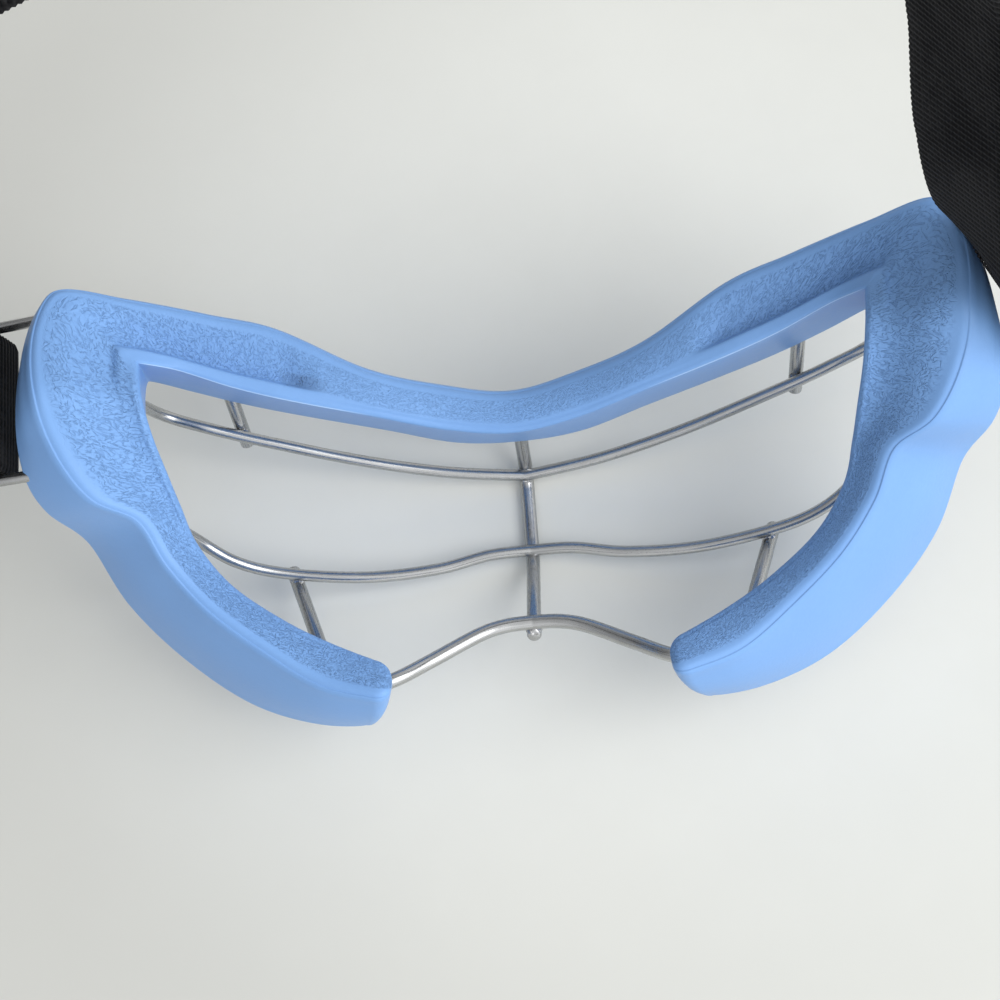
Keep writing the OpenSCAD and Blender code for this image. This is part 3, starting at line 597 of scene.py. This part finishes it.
def frame_ring(t):
    """Points round a section, with how strong the grain and the painted highlight line of the lip are at
    each.
    """
    lip, parting, outer, inner = corners(section(t))
    width = float(np.linalg.norm(parting - lip))
    ring, grain, highlight_and_bump = [], [], []
    lined = float(smooth_step(*LINE_STARTS, t) * smooth_step(*LINE_ENDS, t))
    for w, p in zip(ROUND, bend(inner, lip, parting, LIP_ROUND, ROUND)):
        # the painted highlight line along the lip, where the lip is also raised a little
        line = lined if w == LINE_ROW else 0.0
        raised = unit(unit(lip - inner) + unit(lip - parting)) * LIP_LINE * line
        highlight_and_bump.append(line)
        ring.append(p + raised)
        grain.append(0.9 * w * float(smooth_step(9, 8.2, t)))
    start, end = LIP_ROUND / width, 1 - EDGE_ROUND / width
    low, high = np.interp(t, *GRAIN_FROM), np.interp(t, *GRAIN_TO)
    depth = np.interp(t, *GRAIN_DEPTH)
    for k in range(1, FACE_STEPS):
        v = start + (end - start) * k / FACE_STEPS
        ring.append(lip * (1 - v) + parting * v + vec(0, 0, face_height(t, v)))
        inside = smooth_step(low - 0.03, low + 0.05, v) * smooth_step(high + 0.07, high - 0.07, v)
        grain.append(depth * float(inside))
    away = unit(unit(parting - lip) + unit(parting - outer))
    rest = vec(0, 0, face_height(t, end))
    for w, p in zip(PARTING, bend(lip, parting, outer, EDGE_ROUND, PARTING)):
        sunk = -PARTING_STEP * float(smooth_step(0.2, 0.46, w)) if w < 0.5 else 0
        ring.append(p + away * sunk + rest * (1 - w) ** 2)
        grain.append(depth * 0.15 * (1 - w) if high > 0.9 else 0)
    swell = 0.55 * float(smooth_step(6.5, 4.5, t)) + 0.25
    outward = unit(np.cross(outer - parting, np.cross(parting - lip, outer - parting)))
    for k in range(1, WALL_STEPS):
        w = k / WALL_STEPS
        a, b = parting + unit(outer - parting) * EDGE_ROUND, outer + unit(parting - outer) * FRONT_ROUND
        ring.append(a * (1 - w) + b * w + outward * swell * sin(pi * w))
        grain.append(0)
    for before, at, after, size in ((parting, outer, inner, FRONT_ROUND), (outer, inner, lip, LIP_ROUND)):
        ring += bend(before, at, after, size, ROUND)
        grain += [0] * len(ROUND)
    for k in range(1, WALL_STEPS):
        w = k / WALL_STEPS
        a, b = inner + unit(lip - inner) * LIP_ROUND, lip + unit(inner - lip) * LIP_ROUND
        ring.append(a * (1 - w) + b * w)
        grain.append(0)
    return ring, grain, highlight_and_bump + [0.0] * (len(ring) - len(highlight_and_bump))


def round_off_tip(ring, t):
    """Draws the outer front edge of the wall back from the tip, so that the tip is round."""
    if t >= TIP_REACH:
        return
    _, parting, outer, _ = corners(section(t))
    back = core(t + 0.1) - core(t)
    down = unit(outer - parting)
    deep = float(np.linalg.norm(outer - parting))
    for k, p in enumerate(ring):
        low = min(1.0, max(0.0, float((p - parting) @ down) / deep))
        ring[k] = p + unit(back) * TIP_BACK * low ** 1.5 * (1 - t / TIP_REACH) ** 1.5


def rounded_tip(rings):
    """Rings that get smaller beyond the first section and close the moulding to a blunt round tip."""
    middle = sum(rings[0]) / len(rings[0])
    way = unit(middle - sum(rings[1]) / len(rings[1]))
    lip, parting, _, _ = corners(section(0))
    shift = ((lip + parting) / 2 - middle) * 0.5
    tips = []
    for turn in TIP_TURNS:
        a = radians(turn)
        tips.append([middle + shift * (1 - cos(a)) + (p - middle) * cos(a) ** 0.75 + way * TIP_LEN * sin(a)
                     for p in rings[0]])
    return tips


def moulded_frame():
    """The whole moulding, mirrored about its middle plane. Dirt sits only in the dent of its left brow."""
    places = [k / RINGS_PER_SECTION for k in range(LAST * RINGS_PER_SECTION + 1)]
    rings, grains, highlight_and_bump = [list(rows) for rows in zip(*[frame_ring(t) for t in places])]
    count = len(rings[0])
    soiled = range(len(ROUND) + 4, len(ROUND) + 12)
    dirt = [[np.interp(t, *DIRT_AT) * (1.0 if j in soiled else 0) for j in range(count)] for t in places]
    for t, ring in zip(places, rings):
        round_off_tip(ring, t)
    tips = rounded_tip(rings)
    right = tips + rings
    grains = [grains[0]] * len(tips) + grains
    highlight_and_bump = [highlight_and_bump[0]] * len(tips) + highlight_and_bump
    dirt = [dirt[0]] * len(tips) + dirt
    every = right + [[flip(p) for p in ring] for ring in right[-2::-1]]
    grains += grains[-2::-1]
    highlight_and_bump += highlight_and_bump[-2::-1]
    dirt += [[0] * len(dirt[0])] * (len(right) - 1)
    left_first = every[::-1]
    fields = {"grain": [g for ring in grains[::-1] for g in ring], "dirt": [d for ring in dirt for d in ring],
              "lip_highlight": [w for ring in highlight_and_bump[::-1] for w in ring]}
    # the grain's length runs along the lip, and its width round a section averaged over the whole side
    along = lengths([ring[len(ROUND) // 2 + 6] for ring in left_first])
    samples = right[20::40]
    across = lengths([sum(ring[j] for ring in samples) / len(samples) for j in range(count)])
    across.append(across[-1] + 1.0)
    piece = loft("soft_frame", left_first, along, across, True, False, fields)
    piece.data.materials.append(soft_moulding())
    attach(piece, "goggles")
    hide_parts("moulded_frame")


# wires
WIRE_SIDES, BEND_STEPS = 24, 12
# cut ends of a wire, in radii: their length, then two rings with their share of that length and their radius
CUT_LEN, CUT_NEAR, CUT_FAR = 0.22, (0.7, 0.93), (1.0, 0.78)


def tube(name, path, radius, closed=False):
    """A round wire along a path, with slightly rounded cut ends."""
    m = len(path)
    if closed:
        ways = [unit(path[(i + 1) % m] - path[i - 1]) for i in range(m)]
    else:
        ways = [unit(path[min(i + 1, m - 1)] - path[max(i - 1, 0)]) for i in range(m)]
    side = unit(np.cross(ways[0], vec(0.1, 0.2, 1) if abs(ways[0][2]) < 0.9 else vec(1, 0.2, 0.1)))
    sides_of = []
    for way in ways:
        side = unit(side - way * float(side @ way))
        sides_of.append(side)
    turn = 0.0
    if closed:
        over = unit(sides_of[0] - ways[-1] * float(sides_of[0] @ ways[-1]))
        turn = np.arctan2(float(np.cross(sides_of[-1], over) @ ways[-1]), float(sides_of[-1] @ over))

    def ring(at, way, side, r, twist=0.0):
        other = np.cross(way, side)
        angles = [2 * pi * k / WIRE_SIDES + twist for k in range(WIRE_SIDES)]
        return [at + r * (cos(a) * side + sin(a) * other) for a in angles]

    rings = [ring(p, w, s, radius, turn * i / m) for i, (p, w, s) in enumerate(zip(path, ways, sides_of))]
    line = [np.array(p) for p in path]
    if not closed:
        cut = radius * CUT_LEN
        for last in (0, -1):
            out = -ways[0] if last == 0 else ways[-1]
            near, far = [path[last] + out * cut * share for share, _ in (CUT_NEAR, CUT_FAR)]
            made = [ring(at, ways[last], sides_of[last], radius * left)
                    for at, left in ((near, CUT_NEAR[1]), (far, CUT_FAR[1]))]
            if last == 0:
                rings, line = made[::-1] + rings, [far, near] + line
            else:
                rings, line = rings + made, line + [near, far]
    along = lengths(line + ([line[0]] if closed else []))
    across = [2 * pi * radius * k / WIRE_SIDES for k in range(WIRE_SIDES + 1)]
    return loft(name, rings, along, across, not closed, closed)


def fillet(path, i, radius):
    """The rounded corner of a bent wire at one of its points."""
    u, w = unit(path[i - 1] - path[i]), unit(path[i + 1] - path[i])
    half = acos(float(u @ w)) / 2
    centre = path[i] + unit(u + w) * radius / sin(half)
    e = unit(path[i] + u * radius / tan(half) - centre)
    f = path[i] + w * radius / tan(half) - centre
    f = unit(f - e * float(f @ e))
    turns = [(pi - 2 * half) * k / BEND_STEPS for k in range(BEND_STEPS + 1)]
    return [centre + radius * (cos(a) * e + sin(a) * f) for a in turns]


def bent(path, radii):
    """A wire's path with its inner corners rounded to these radii."""
    return [path[0]] + [p for i in range(1, len(path) - 1) for p in fillet(path, i, radii[i])] + [path[-1]]


def both_sides(half):
    """A path that starts at the middle plane, with its mirror image before it."""
    return [flip(p) for p in half[:0:-1]] + half


def cross_wire_half(points, height, drop, target):
    """One half of a cross wire, from the middle to inside the moulding."""
    bow = BRIDGE_LIP_Z + WRAP_DEPTH - CROSS_Z
    core_in = HEAVY_R + LIGHT_R - WELD_BITE
    placed = [vec(OPENING_HALF_W * x, height + drop * y, CROSS_Z + bow * z) for x, y, z in points]
    placed += [target - vec(LIGHT_R, 0, core_in + 4 * HEAVY_R * 0.7), target - vec(0, 0, core_in)]
    return smooth_path(placed, 10)


UPPER_HALF = cross_wire_half(
    [(0, 0, 0), (0.24, 0.09, 0.035), (0.49, 0.23, 0.12), (0.74, 0.415, 0.227), (0.935, 0.58, 0.314),
     (1.08, 0.73, 0.407)], UPPER_WIRE_Y, OPENING_TOP, core(8.4))
LOWER_HALF = cross_wire_half(
    [(0, 0, 0), (0.13, 0.012, 0.014), (0.295, 0.07, 0.025), (0.51, 0.09, 0.057), (0.74, 0.048, 0.11),
     (0.885, -0.015, 0.19), (0.995, -0.135, 0.31)], -LOWER_WIRE_Y, -OPENING_DROP, core(6.2))
ARCH_HALF = [vec(OPENING_HALF_W * x, -ARCH_DROP - OPENING_DROP * y, ARCH_Z * (1 + z)) for x, y, z in
             ((0, 0, 0), (0.08, 0.01, 0.03), (0.16, 0.055, 0.09), (0.295, 0.19, 0.28), (0.4, 0.3, 0.52))]


def on_wire(path, x):
    """Point and direction on a cross wire at that distance from the middle."""
    i = next(i for i in range(len(path) - 1) if path[i + 1][0] > x)
    share = (x - path[i][0]) / (path[i + 1][0] - path[i][0])
    return path[i] + share * (path[i + 1] - path[i]), unit(path[i + 1] - path[i])


def short_wire(path, x, root, lean=None):
    """Ends of a short wire that crosses in front of a cross wire, and the middle of their weld.

    It starts at the root, or with a lean that far outside the weld."""
    hit, way = on_wire(path, x)
    front = unit(np.cross(way, hit - root))
    front = -front if front[2] > 0 else front
    away = HEAVY_R + LIGHT_R - WELD_BITE
    passing = hit + away * front
    top = root if lean is None else vec(x + lean, root[1], root[2])
    end = passing + unit(passing - top) * (LIGHT_R + NUB_LEN)
    return top, end, hit + (passing - hit) * LIGHT_R / away


BRIDGE_CORE = core(LAST)
UPPER_SHORT = short_wire(UPPER_HALF, UPPER_SHORT_X, core(10.5) + vec(0, BROW_W * 0.3, -WALL_DEPTH * 0.31),
                         UPPER_SHORT_LEAN)
LOWER_SHORT = short_wire(LOWER_HALF, LOWER_SHORT_X,
                         core(0.7) + vec(OPENING_HALF_W * 0.03, -OPENING_DROP * 0.05, -WALL_DEPTH * 0.275))
CENTRE_PATH = bent([BRIDGE_CORE + vec(0, HEAVY_R * 1.4, 0), BRIDGE_CORE + vec(0, HEAVY_R, -WALL_DEPTH * 0.47),
                    vec(0, UPPER_WIRE_Y + HEAVY_R, HEAVY_R), vec(0, -LOWER_WIRE_Y - HEAVY_R, HEAVY_R),
                    vec(0, -ARCH_DROP - HEAVY_R * 1.6, ARCH_Z - HEAVY_R * 0.86)], [0, 5, 6, 12, 0])
BAR_X = corners(section_row(8))[2][0] + BAR_OUT


def perimeter_path():
    """The nose arch and then the cores of the moulding, once round the opening."""
    half = ARCH_HALF + [core(k / 2) for k in range(1, LAST * 2, 2)] + [core(LAST)]
    half = smooth_path(half, 8)
    return half + [flip(p) for p in half[-2:0:-1]]


def strap_loop_path():
    """The right strap loop: out of the temple, along the strap bar and back in."""
    low, high = [BAR_Y + s * (STRAP_W / 2 + SIDE_GAP + LIGHT_R) for s in (-1, 1)]
    path = [vec(BAR_X - LEG_L, low, BAR_Z + LEG_L * 0.21), vec(BAR_X, low, BAR_Z), vec(BAR_X, high, BAR_Z),
            vec(BAR_X - LEG_L, high, BAR_Z + LEG_L * 0.21)]
    return bent(path, [0, LOOP_BEND_R, LOOP_BEND_R, 0])


def wire_cage(steel):
    """Every wire of the cage and the two strap loops."""
    mirrored = {"left": flip, "right": lambda p: p}
    wires = [("cage_perimeter_wire", "perimeter_wire", perimeter_path(), HEAVY_R, True),
             ("cage_cross_wire_upper", "upper_cross_wire", both_sides(UPPER_HALF), LIGHT_LOOK_R, False),
             ("cage_cross_wire_lower", "lower_cross_wire", both_sides(LOWER_HALF), LIGHT_LOOK_R, False),
             ("cage_upright_wire", "centre_wire", CENTRE_PATH, HEAVY_R, False)]
    for side, turned in mirrored.items():
        for name, node, path, radius in (
                (f"cage_short_wire_upper_{side}", f"upper_{side}_wire", UPPER_SHORT[:2], HEAVY_R),
                (f"cage_short_wire_lower_{side}", f"lower_{side}_wire", LOWER_SHORT[:2], HEAVY_R),
                (f"cage_strap_wire_{side}", f"{side}_strap_loop", strap_loop_path(), LIGHT_R)):
            wires.append((name, node, [turned(p) for p in path], radius, False))
    for name, node, path, radius, closed in wires:
        piece = tube(name, path, radius, closed)
        piece.data.materials.append(steel)
        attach(piece, "goggles")
        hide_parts(node)


def bead(at, size, way, seed):
    """An uneven lump of weld metal."""
    mesh = bpy.data.meshes.new("bead")
    work = bmesh.new()
    bmesh.ops.create_icosphere(work, subdivisions=4, radius=1.0)
    for v in work.verts:
        large = noise.noise(v.co * 1.6 + Vector((seed, 0, 0)))
        small = noise.noise(v.co * 4 + Vector((0, seed, 0)))
        lump = 1 + 0.22 * large + 0.08 * small
        v.co = Vector([v.co[k] * size[k] * lump for k in range(3)])
    turn = Vector((0, 0, 1)).rotation_difference(Vector(way))
    for v in work.verts:
        v.co = (turn @ v.co + Vector(at)) * MM
    work.to_mesh(mesh)
    work.free()
    return mesh


def weld_beads(metal):
    """The beads where wires cross. Each has its own seed."""
    r = WELD_D / 2
    flat = (r * 0.98, r * 0.98, r * 0.6)
    under = CROSS_Z - LIGHT_R
    groups = {
        "upper_welds": [(UPPER_SHORT[2], 1), (flip(UPPER_SHORT[2]), 2), (vec(0, UPPER_WIRE_Y, under), 3)],
        "lower_welds": [(LOWER_SHORT[2], 4), (flip(LOWER_SHORT[2]), 5), (vec(0, -LOWER_WIRE_Y, under), 6)],
        "arch_weld": [(vec(0, -ARCH_DROP - HEAVY_R * 0.7, ARCH_Z - HEAVY_R * 0.7), 7)]}
    for node, places in groups.items():
        piece = joined("beads_" + node, [bead(at, flat, (0, 0, 1), seed) for at, seed in places])
        piece.data.materials.append(metal)
        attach(piece, "goggles")
        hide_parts(node)


# strap
def strap_path(points):
    """The points joined by a smooth curve, with one point for each step of the ribs.

    A point has its place and then the strap's turn about its own length."""
    fine = smooth_path(points, 16)
    far = lengths([p[:3] for p in fine])
    count = int(ceil(far[-1] / RIB * RIB_STEPS))
    return [vec(*[np.interp(far[-1] * k / count, far, [p[i] for p in fine]) for i in range(4)])
            for k in range(count + 1)]


ACROSS = [-1, -0.97, -0.9, -0.6, -0.2, 0.2, 0.6, 0.9, 0.97, 1]
# how far a rib stands out at the strap's sides and faces, and where its edges begin to round off
RIB_OUT, RIB_UP, EDGE_FROM, EDGE_FALL = 0.12, 0.05, 0.88, 0.72


def ribbon(name, path, start_at=0.0):
    """A strap with rounded edges and ribs across it. Where its turn is nothing, its width runs along Y."""
    m, turns, path = len(path), [p[3] for p in path], [p[:3] for p in path]
    ways = [unit(path[min(i + 1, m - 1)] - path[max(i - 1, 0)]) for i in range(m)]
    along = [start_at + d for d in lengths(path)]
    rings = []
    for p, turn, way, s in zip(path, turns, ways, along):
        wide = vec(-sin(turn), cos(turn), 0)
        wide = unit(wide - way * float(wide @ way))
        thick = np.cross(way, wide)
        rib = sin(2 * pi * s / RIB)
        half_w, half_t = STRAP_W / 2 - RIB_OUT + RIB_OUT * rib, STRAP_T / 2 - RIB_UP + RIB_UP * rib
        face = [(x, 1.0 - EDGE_FALL * max(0.0, (abs(x) - EDGE_FROM) / (1 - EDGE_FROM)) ** 2) for x in ACROSS]
        outline = face + [(-x, -h) for x, h in face]
        rings.append([p + wide * x * half_w + thick * h * half_t for x, h in outline])
    across = lengths(rings[0])
    across.append(across[-1] + STRAP_T * 0.3)
    return loft(name, rings, along, across)


def end_turn(side, z):
    """How far a sewn end is turned at that distance from its bar. Only the right one is."""
    return END_TURN * float(smooth_step(-2, END_TOP, z)) if side == "right" else 0.0


def strap_end_frame(side):
    """Turns a place in a sewn end into a place in the frame."""
    lean = RIGHT_LEAN if side == "right" else LEFT_LEAN
    middle = vec(BAR_X, BAR_Y, BAR_Z) if side == "right" else vec(-BAR_X, BAR_Y, BAR_Z)

    def placed(x, y, z):
        turn = end_turn(side, z)
        x, y = x * cos(turn) - y * sin(turn), y * cos(turn) + x * sin(turn)
        return middle + vec(x * cos(lean) - z * sin(lean), y, x * sin(lean) + z * cos(lean))
    return placed


def sewn_end(side, elastic):
    """The end of the strap: round the bar, folded back and sewn on itself."""
    placed = strap_end_frame(side)
    inner = 1 if side == "left" else -1
    t = STRAP_T / 2
    r = LIGHT_R + BAR_GAP + t
    outline = [(t, END_TOP - 0.1), (t, END_TAPER + 1), (t + 0.15, END_TAPER - 0.7), (r * 0.85, 3), (r, 0),
               (r, -END_SLACK)]
    arc = [(r * cos(a), -END_SLACK - r * sin(a)) for a in np.linspace(0, pi, 13)[1:-1]]
    back = [(-x, z) for x, z in outline[::-1]]
    path = strap_path([vec(*placed(inner * x, 0, z), end_turn(side, z)) for x, z in outline + arc + back])
    piece = ribbon(f"sewn_end_{side}", path)
    piece.data.materials.append(elastic)
    long = lengths([p[:3] for p in path])[-1]
    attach(piece, f"strap_{side}")
    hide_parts(f"strap_{side}_end")


def bar_tacks(side, thread):
    """Two rows of close stitches across each side of a sewn end."""
    placed = strap_end_frame(side)
    paths = []
    count = int(TACK_LEN / STITCH_PITCH)
    for row in (0, 1):
        z = END_TAPER + TACK_W * 1.25 + row * TACK_PITCH
        for face in (-1, 1):
            for k in range(count):
                y = -TACK_LEN / 2 + STITCH_PITCH * (k + 0.5)
                slant = 0.14 if k % 2 else -0.14
                path = [placed(face * (STRAP_T + d), y + slant * w, z + TACK_W / 2 * w)
                        for d, w in ((-0.1, -1), (0.2, -0.8), (0.28, 0), (0.2, 0.8), (-0.1, 1))]
                paths.append(path)
    points, faces, sides = [], [], STITCH_SIDES
    turns = [2 * pi * k / sides for k in range(sides)]
    for path in paths:
        start = len(points)
        for i, p in enumerate(path):
            way = unit(path[min(i + 1, len(path) - 1)] - path[max(i - 1, 0)])
            a = unit(np.cross(way, vec(0, 1, 0)))
            b = np.cross(way, a)
            points += [p + STITCH_R * (cos(turn) * a + sin(turn) * b) for turn in turns]
        for i in range(len(path) - 1):
            for k in range(sides):
                q = (k + 1) % sides
                faces.append((start + i * sides + k, start + (i + 1) * sides + k, start + (i + 1) * sides + q,
                              start + i * sides + q))
        for i in (0, len(path) - 1):
            faces.append(tuple(start + i * sides + k for k in range(sides)))
    piece = mesh_piece(f"bar_tack_stitches_{side}", points, faces)
    piece.data.materials.append(thread)
    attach(piece, f"strap_{side}")
    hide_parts(f"{side}_bar_tacks")


def band_points():
    """Points along the free strap with its turn at each, and where each half starts to bend.

    The right half starts at its foot, the left one above the places that the adjuster can reach."""
    right_way, left_way = [vec(-sin(a), 0, cos(a)) for a in (RIGHT_LEAN, LEFT_LEAN)]
    right_foot = vec(BAR_X, BAR_Y, BAR_Z) + right_way * END_TOP
    left_foot = vec(-BAR_X, BAR_Y, BAR_Z) + left_way * END_TOP
    straight = ADJUSTER_REACH + ADJUSTER_L / 2
    bend_from = straight + STRAIGHT_SPARE
    points = [vec(*(right_foot + right_way * r), END_TURN) for r in (-0.3, 2.5)]
    for x, y, z, turn in ((0.865, 0.07, 0.22, 0.95), (0.835, 0.28, 0.34, 1), (0.81, 0.56, 0.51, 1),
                          (0.755, 0.82, 0.72, 1), (0.61, 1, 0.87, 1), (0.4, 1.08, 0.96, 0.9),
                          (0.12, 1.12, 1, 0.65), (-0.2, 1.08, 0.99, 0.35), (-0.52, 0.95, 0.94, 0.1),
                          (-0.86, 0.64, 0.85, 0), (-1.02, 0.26, 0.72, 0), (-1.085, 0.05, 0.59, 0)):
        height = BAR_Z + (STRAP_TOP - BAR_Z) * z
        points.append(vec(BAR_X * x, BAR_Y + STRAP_RISE * y, height, STRAP_TWIST * turn))
    for r in (bend_from, straight - 1, ADJUSTER_REACH, 4, -0.3):
        points.append(vec(*(left_foot + left_way * r), 0))
    return points, right_foot, left_foot + left_way * bend_from


def band(elastic):
    """The free strap in two halves that meet at its top."""
    points, right_start, left_start = band_points()
    path = strap_path(points)
    top = max(range(len(path)), key=lambda i: path[i][2])
    for side, part, start in (("right", path[:top + 1], right_start), ("left", path[top:], left_start)):
        start_at = 0.0 if side == "right" else top * RIB / RIB_STEPS
        piece = ribbon(f"strap_{side}_half", part, start_at)
        piece.data.materials.append(elastic)
        long = lengths([p[:3] for p in part])[-1]
        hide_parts("strap_band")
        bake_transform(piece)


def rounded_box(size, radius):
    """A box with rounded edges about the origin, in millimetres."""
    work = bmesh.new()
    bmesh.ops.create_cube(work, size=1.0)
    bmesh.ops.scale(work, vec=Vector(size), verts=work.verts)
    bmesh.ops.bevel(work, geom=work.edges, offset=radius, segments=3, affect="EDGES", profile=0.5)
    return work


def adjuster(plastic):
    """A four-sided frame with a middle bar: the strap runs over the outer bars and under the middle one."""
    off = STRAP_T / 2 + ADJUSTER_GAP + ADJUSTER_T / 2
    inside = STRAP_W / 2 + ADJUSTER_GAP
    bar = (ADJUSTER_T, 2 * inside + ADJUSTER_LAP, ADJUSTER_BAR)
    rail = (2 * off + ADJUSTER_T, ADJUSTER_RAIL, ADJUSTER_L)
    whole = bmesh.new()
    solids = [(bar, (off, 0, s * (ADJUSTER_L - ADJUSTER_BAR) / 2), BAR_EDGE) for s in (-1, 1)]
    solids.append((bar, (-off, 0, 0), BAR_EDGE))
    solids += [(rail, (0, s * (inside + ADJUSTER_RAIL / 2), 0), RAIL_EDGE) for s in (-1, 1)]
    for size, at, radius in solids:
        work = rounded_box(size, radius)
        bmesh.ops.translate(work, vec=Vector(at), verts=work.verts)
        part = bpy.data.meshes.new("part")
        work.to_mesh(part)
        whole.from_mesh(part)
        work.free()
    placed = strap_end_frame("left")
    reach = END_TOP + ADJUSTER_REACH
    for v in whole.verts:
        v.co = Vector(placed(v.co.x, v.co.y, v.co.z + reach)) * MM
    mesh = bpy.data.meshes.new("strap_slider")
    whole.to_mesh(mesh)
    whole.free()
    mesh.polygons.foreach_set("use_smooth", [True] * len(mesh.polygons))
    piece = link(mesh, "strap_slider")
    piece.data.materials.append(plastic)
    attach(piece, "adjuster")
    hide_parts("strap_adjuster")


# scene
TABLE_HALF = 12.0
# the middle of the painted pool of light on the table
GOGGLES_MIDDLE = (5, 22, 0)
# room light: its strength at the middle, and how much it grows to the right and falls to the back
ROOM_STRENGTH, ROOM_RIGHT, ROOM_BACK, ROOM_LEAST = 0.87, 0.68, -0.4, 0.1
KEY_AT, KEY_AIM, KEY_SIZE, KEY_POWER = (0.85, -0.25, 0.8), (0, 0, 0.03), 1.0, 8


def add_camera():
    """A camera over the cheek side of the goggles that looks down at them."""
    ahead = Vector((0, cos(LOOK_DOWN), -sin(LOOK_DOWN)))
    up = Vector((0, sin(LOOK_DOWN), cos(LOOK_DOWN)))
    right = Vector((1, 0, 0))
    forward = ahead * cos(LOOK_ASIDE) + right * sin(LOOK_ASIDE)
    side = right * cos(LOOK_ASIDE) - ahead * sin(LOOK_ASIDE)
    x = side * cos(ROLL) + up * sin(ROLL)
    y = up * cos(ROLL) - side * sin(ROLL)
    z = -forward
    data = bpy.data.cameras.new("camera")
    data.lens, data.sensor_width, data.sensor_fit = LENS, SENSOR_W, "HORIZONTAL"
    data.clip_start, data.clip_end = 0.01, 20
    camera = bpy.data.objects.new("camera", data)
    bpy.context.scene.collection.objects.link(camera)
    camera.matrix_world = Matrix([[x[i], y[i], z[i], EYE[i]] for i in range(3)] + [[0, 0, 0, 1]])
    bpy.context.scene.camera = camera


def floor():
    """A pale smooth table top with painted light: darker to the left and lighter to the right, and a painted
    pool of light round the goggles that lifts their shadow; a few faint marks.
    """
    work = Finish("pale_table")
    tone = work.group(TONE, Vector=work.place(1.0), Slow=3.0, Fine=60.0).outputs
    across = work.node("ShaderNodeSeparateXYZ", None, Vector=work.place()).outputs[0]
    away = work.node("ShaderNodeVectorMath", {"operation": "DISTANCE"}, i0=work.place(),
                     i1=GOGGLES_MIDDLE).outputs["Value"]
    # painted light: the table darker to the left and lighter to the right
    base = work.mix(work.ramp(across, -110, 110), TABLE_SHADED_LEFT, TABLE_LIT_RIGHT)
    # painted pool of light round the goggles, which lifts their shadow
    base = work.mix(work.ramp(away, 135, 50), base, TABLE_LIT_NEAR)
    base = work.mix(work.ramp(tone["Tone"], 0.3, 0.7, 0.0, 0.12), base, TABLE_DULL)
    marks = work.group(SPECKS, Vector=work.place(), Scale=0.022, Share=0.35, Size=0.009).outputs[0]
    base = work.mix(work.math("MULTIPLY", marks, 0.6), base, TABLE_MARK)
    work.set(Base_Color=base, Roughness=0.55, IOR=1.3)
    mesh = bpy.data.meshes.new("table_top")
    half = TABLE_HALF
    mesh.from_pydata([(-half, -half, 0), (half, -half, 0), (half, half, 0), (-half, half, 0)], [],
                     [(0, 1, 2, 3)])
    piece = link(mesh, "table_top")
    mesh.materials.append(work.material)


def key_light():
    """A large round lamp to the right of the goggles."""
    data = bpy.data.lights.new("key_light", "AREA")
    data.shape, data.size, data.energy = "DISK", KEY_SIZE, KEY_POWER
    light = bpy.data.objects.new("key_light", data)
    light.location = KEY_AT
    light.rotation_euler = (Vector(KEY_AIM) - Vector(KEY_AT)).to_track_quat("-Z", "Y").to_euler()
    bpy.context.scene.collection.objects.link(light)


def lights():
    """A soft white room that is brightest to the right and at the front, and the key light."""
    world = bpy.data.worlds.new("soft_room")
    world.use_nodes = True
    work = Finish("soft_room", world.node_tree)
    way = work.node("ShaderNodeTexCoord").outputs["Generated"]
    parts = work.node("ShaderNodeSeparateXYZ", None, Vector=way).outputs
    bright = work.math("MULTIPLY_ADD", parts[0], ROOM_RIGHT, 1.0)
    bright = work.math("MULTIPLY_ADD", parts[1], ROOM_BACK, bright)
    back = world.node_tree.nodes["Background"]
    back.inputs[0].default_value = (0.98, 0.99, 1.0, 1)
    strength = work.math("MULTIPLY", work.math("MAXIMUM", bright, ROOM_LEAST), ROOM_STRENGTH)
    work.plug(back, "Strength", strength)
    bpy.context.scene.world = world
    key_light()
    bpy.context.scene.view_settings.view_transform = "Standard"


add_camera()
moulded_frame()
wire_cage(drawn_steel())
weld_beads(weld_metal())
ELASTIC, THREAD = ribbed_elastic(), tack_thread()
for END in ("left", "right"):
    sewn_end(END, ELASTIC)
    bar_tacks(END, THREAD)
band(ELASTIC)
adjuster(adjuster_plastic())
floor()
lights()
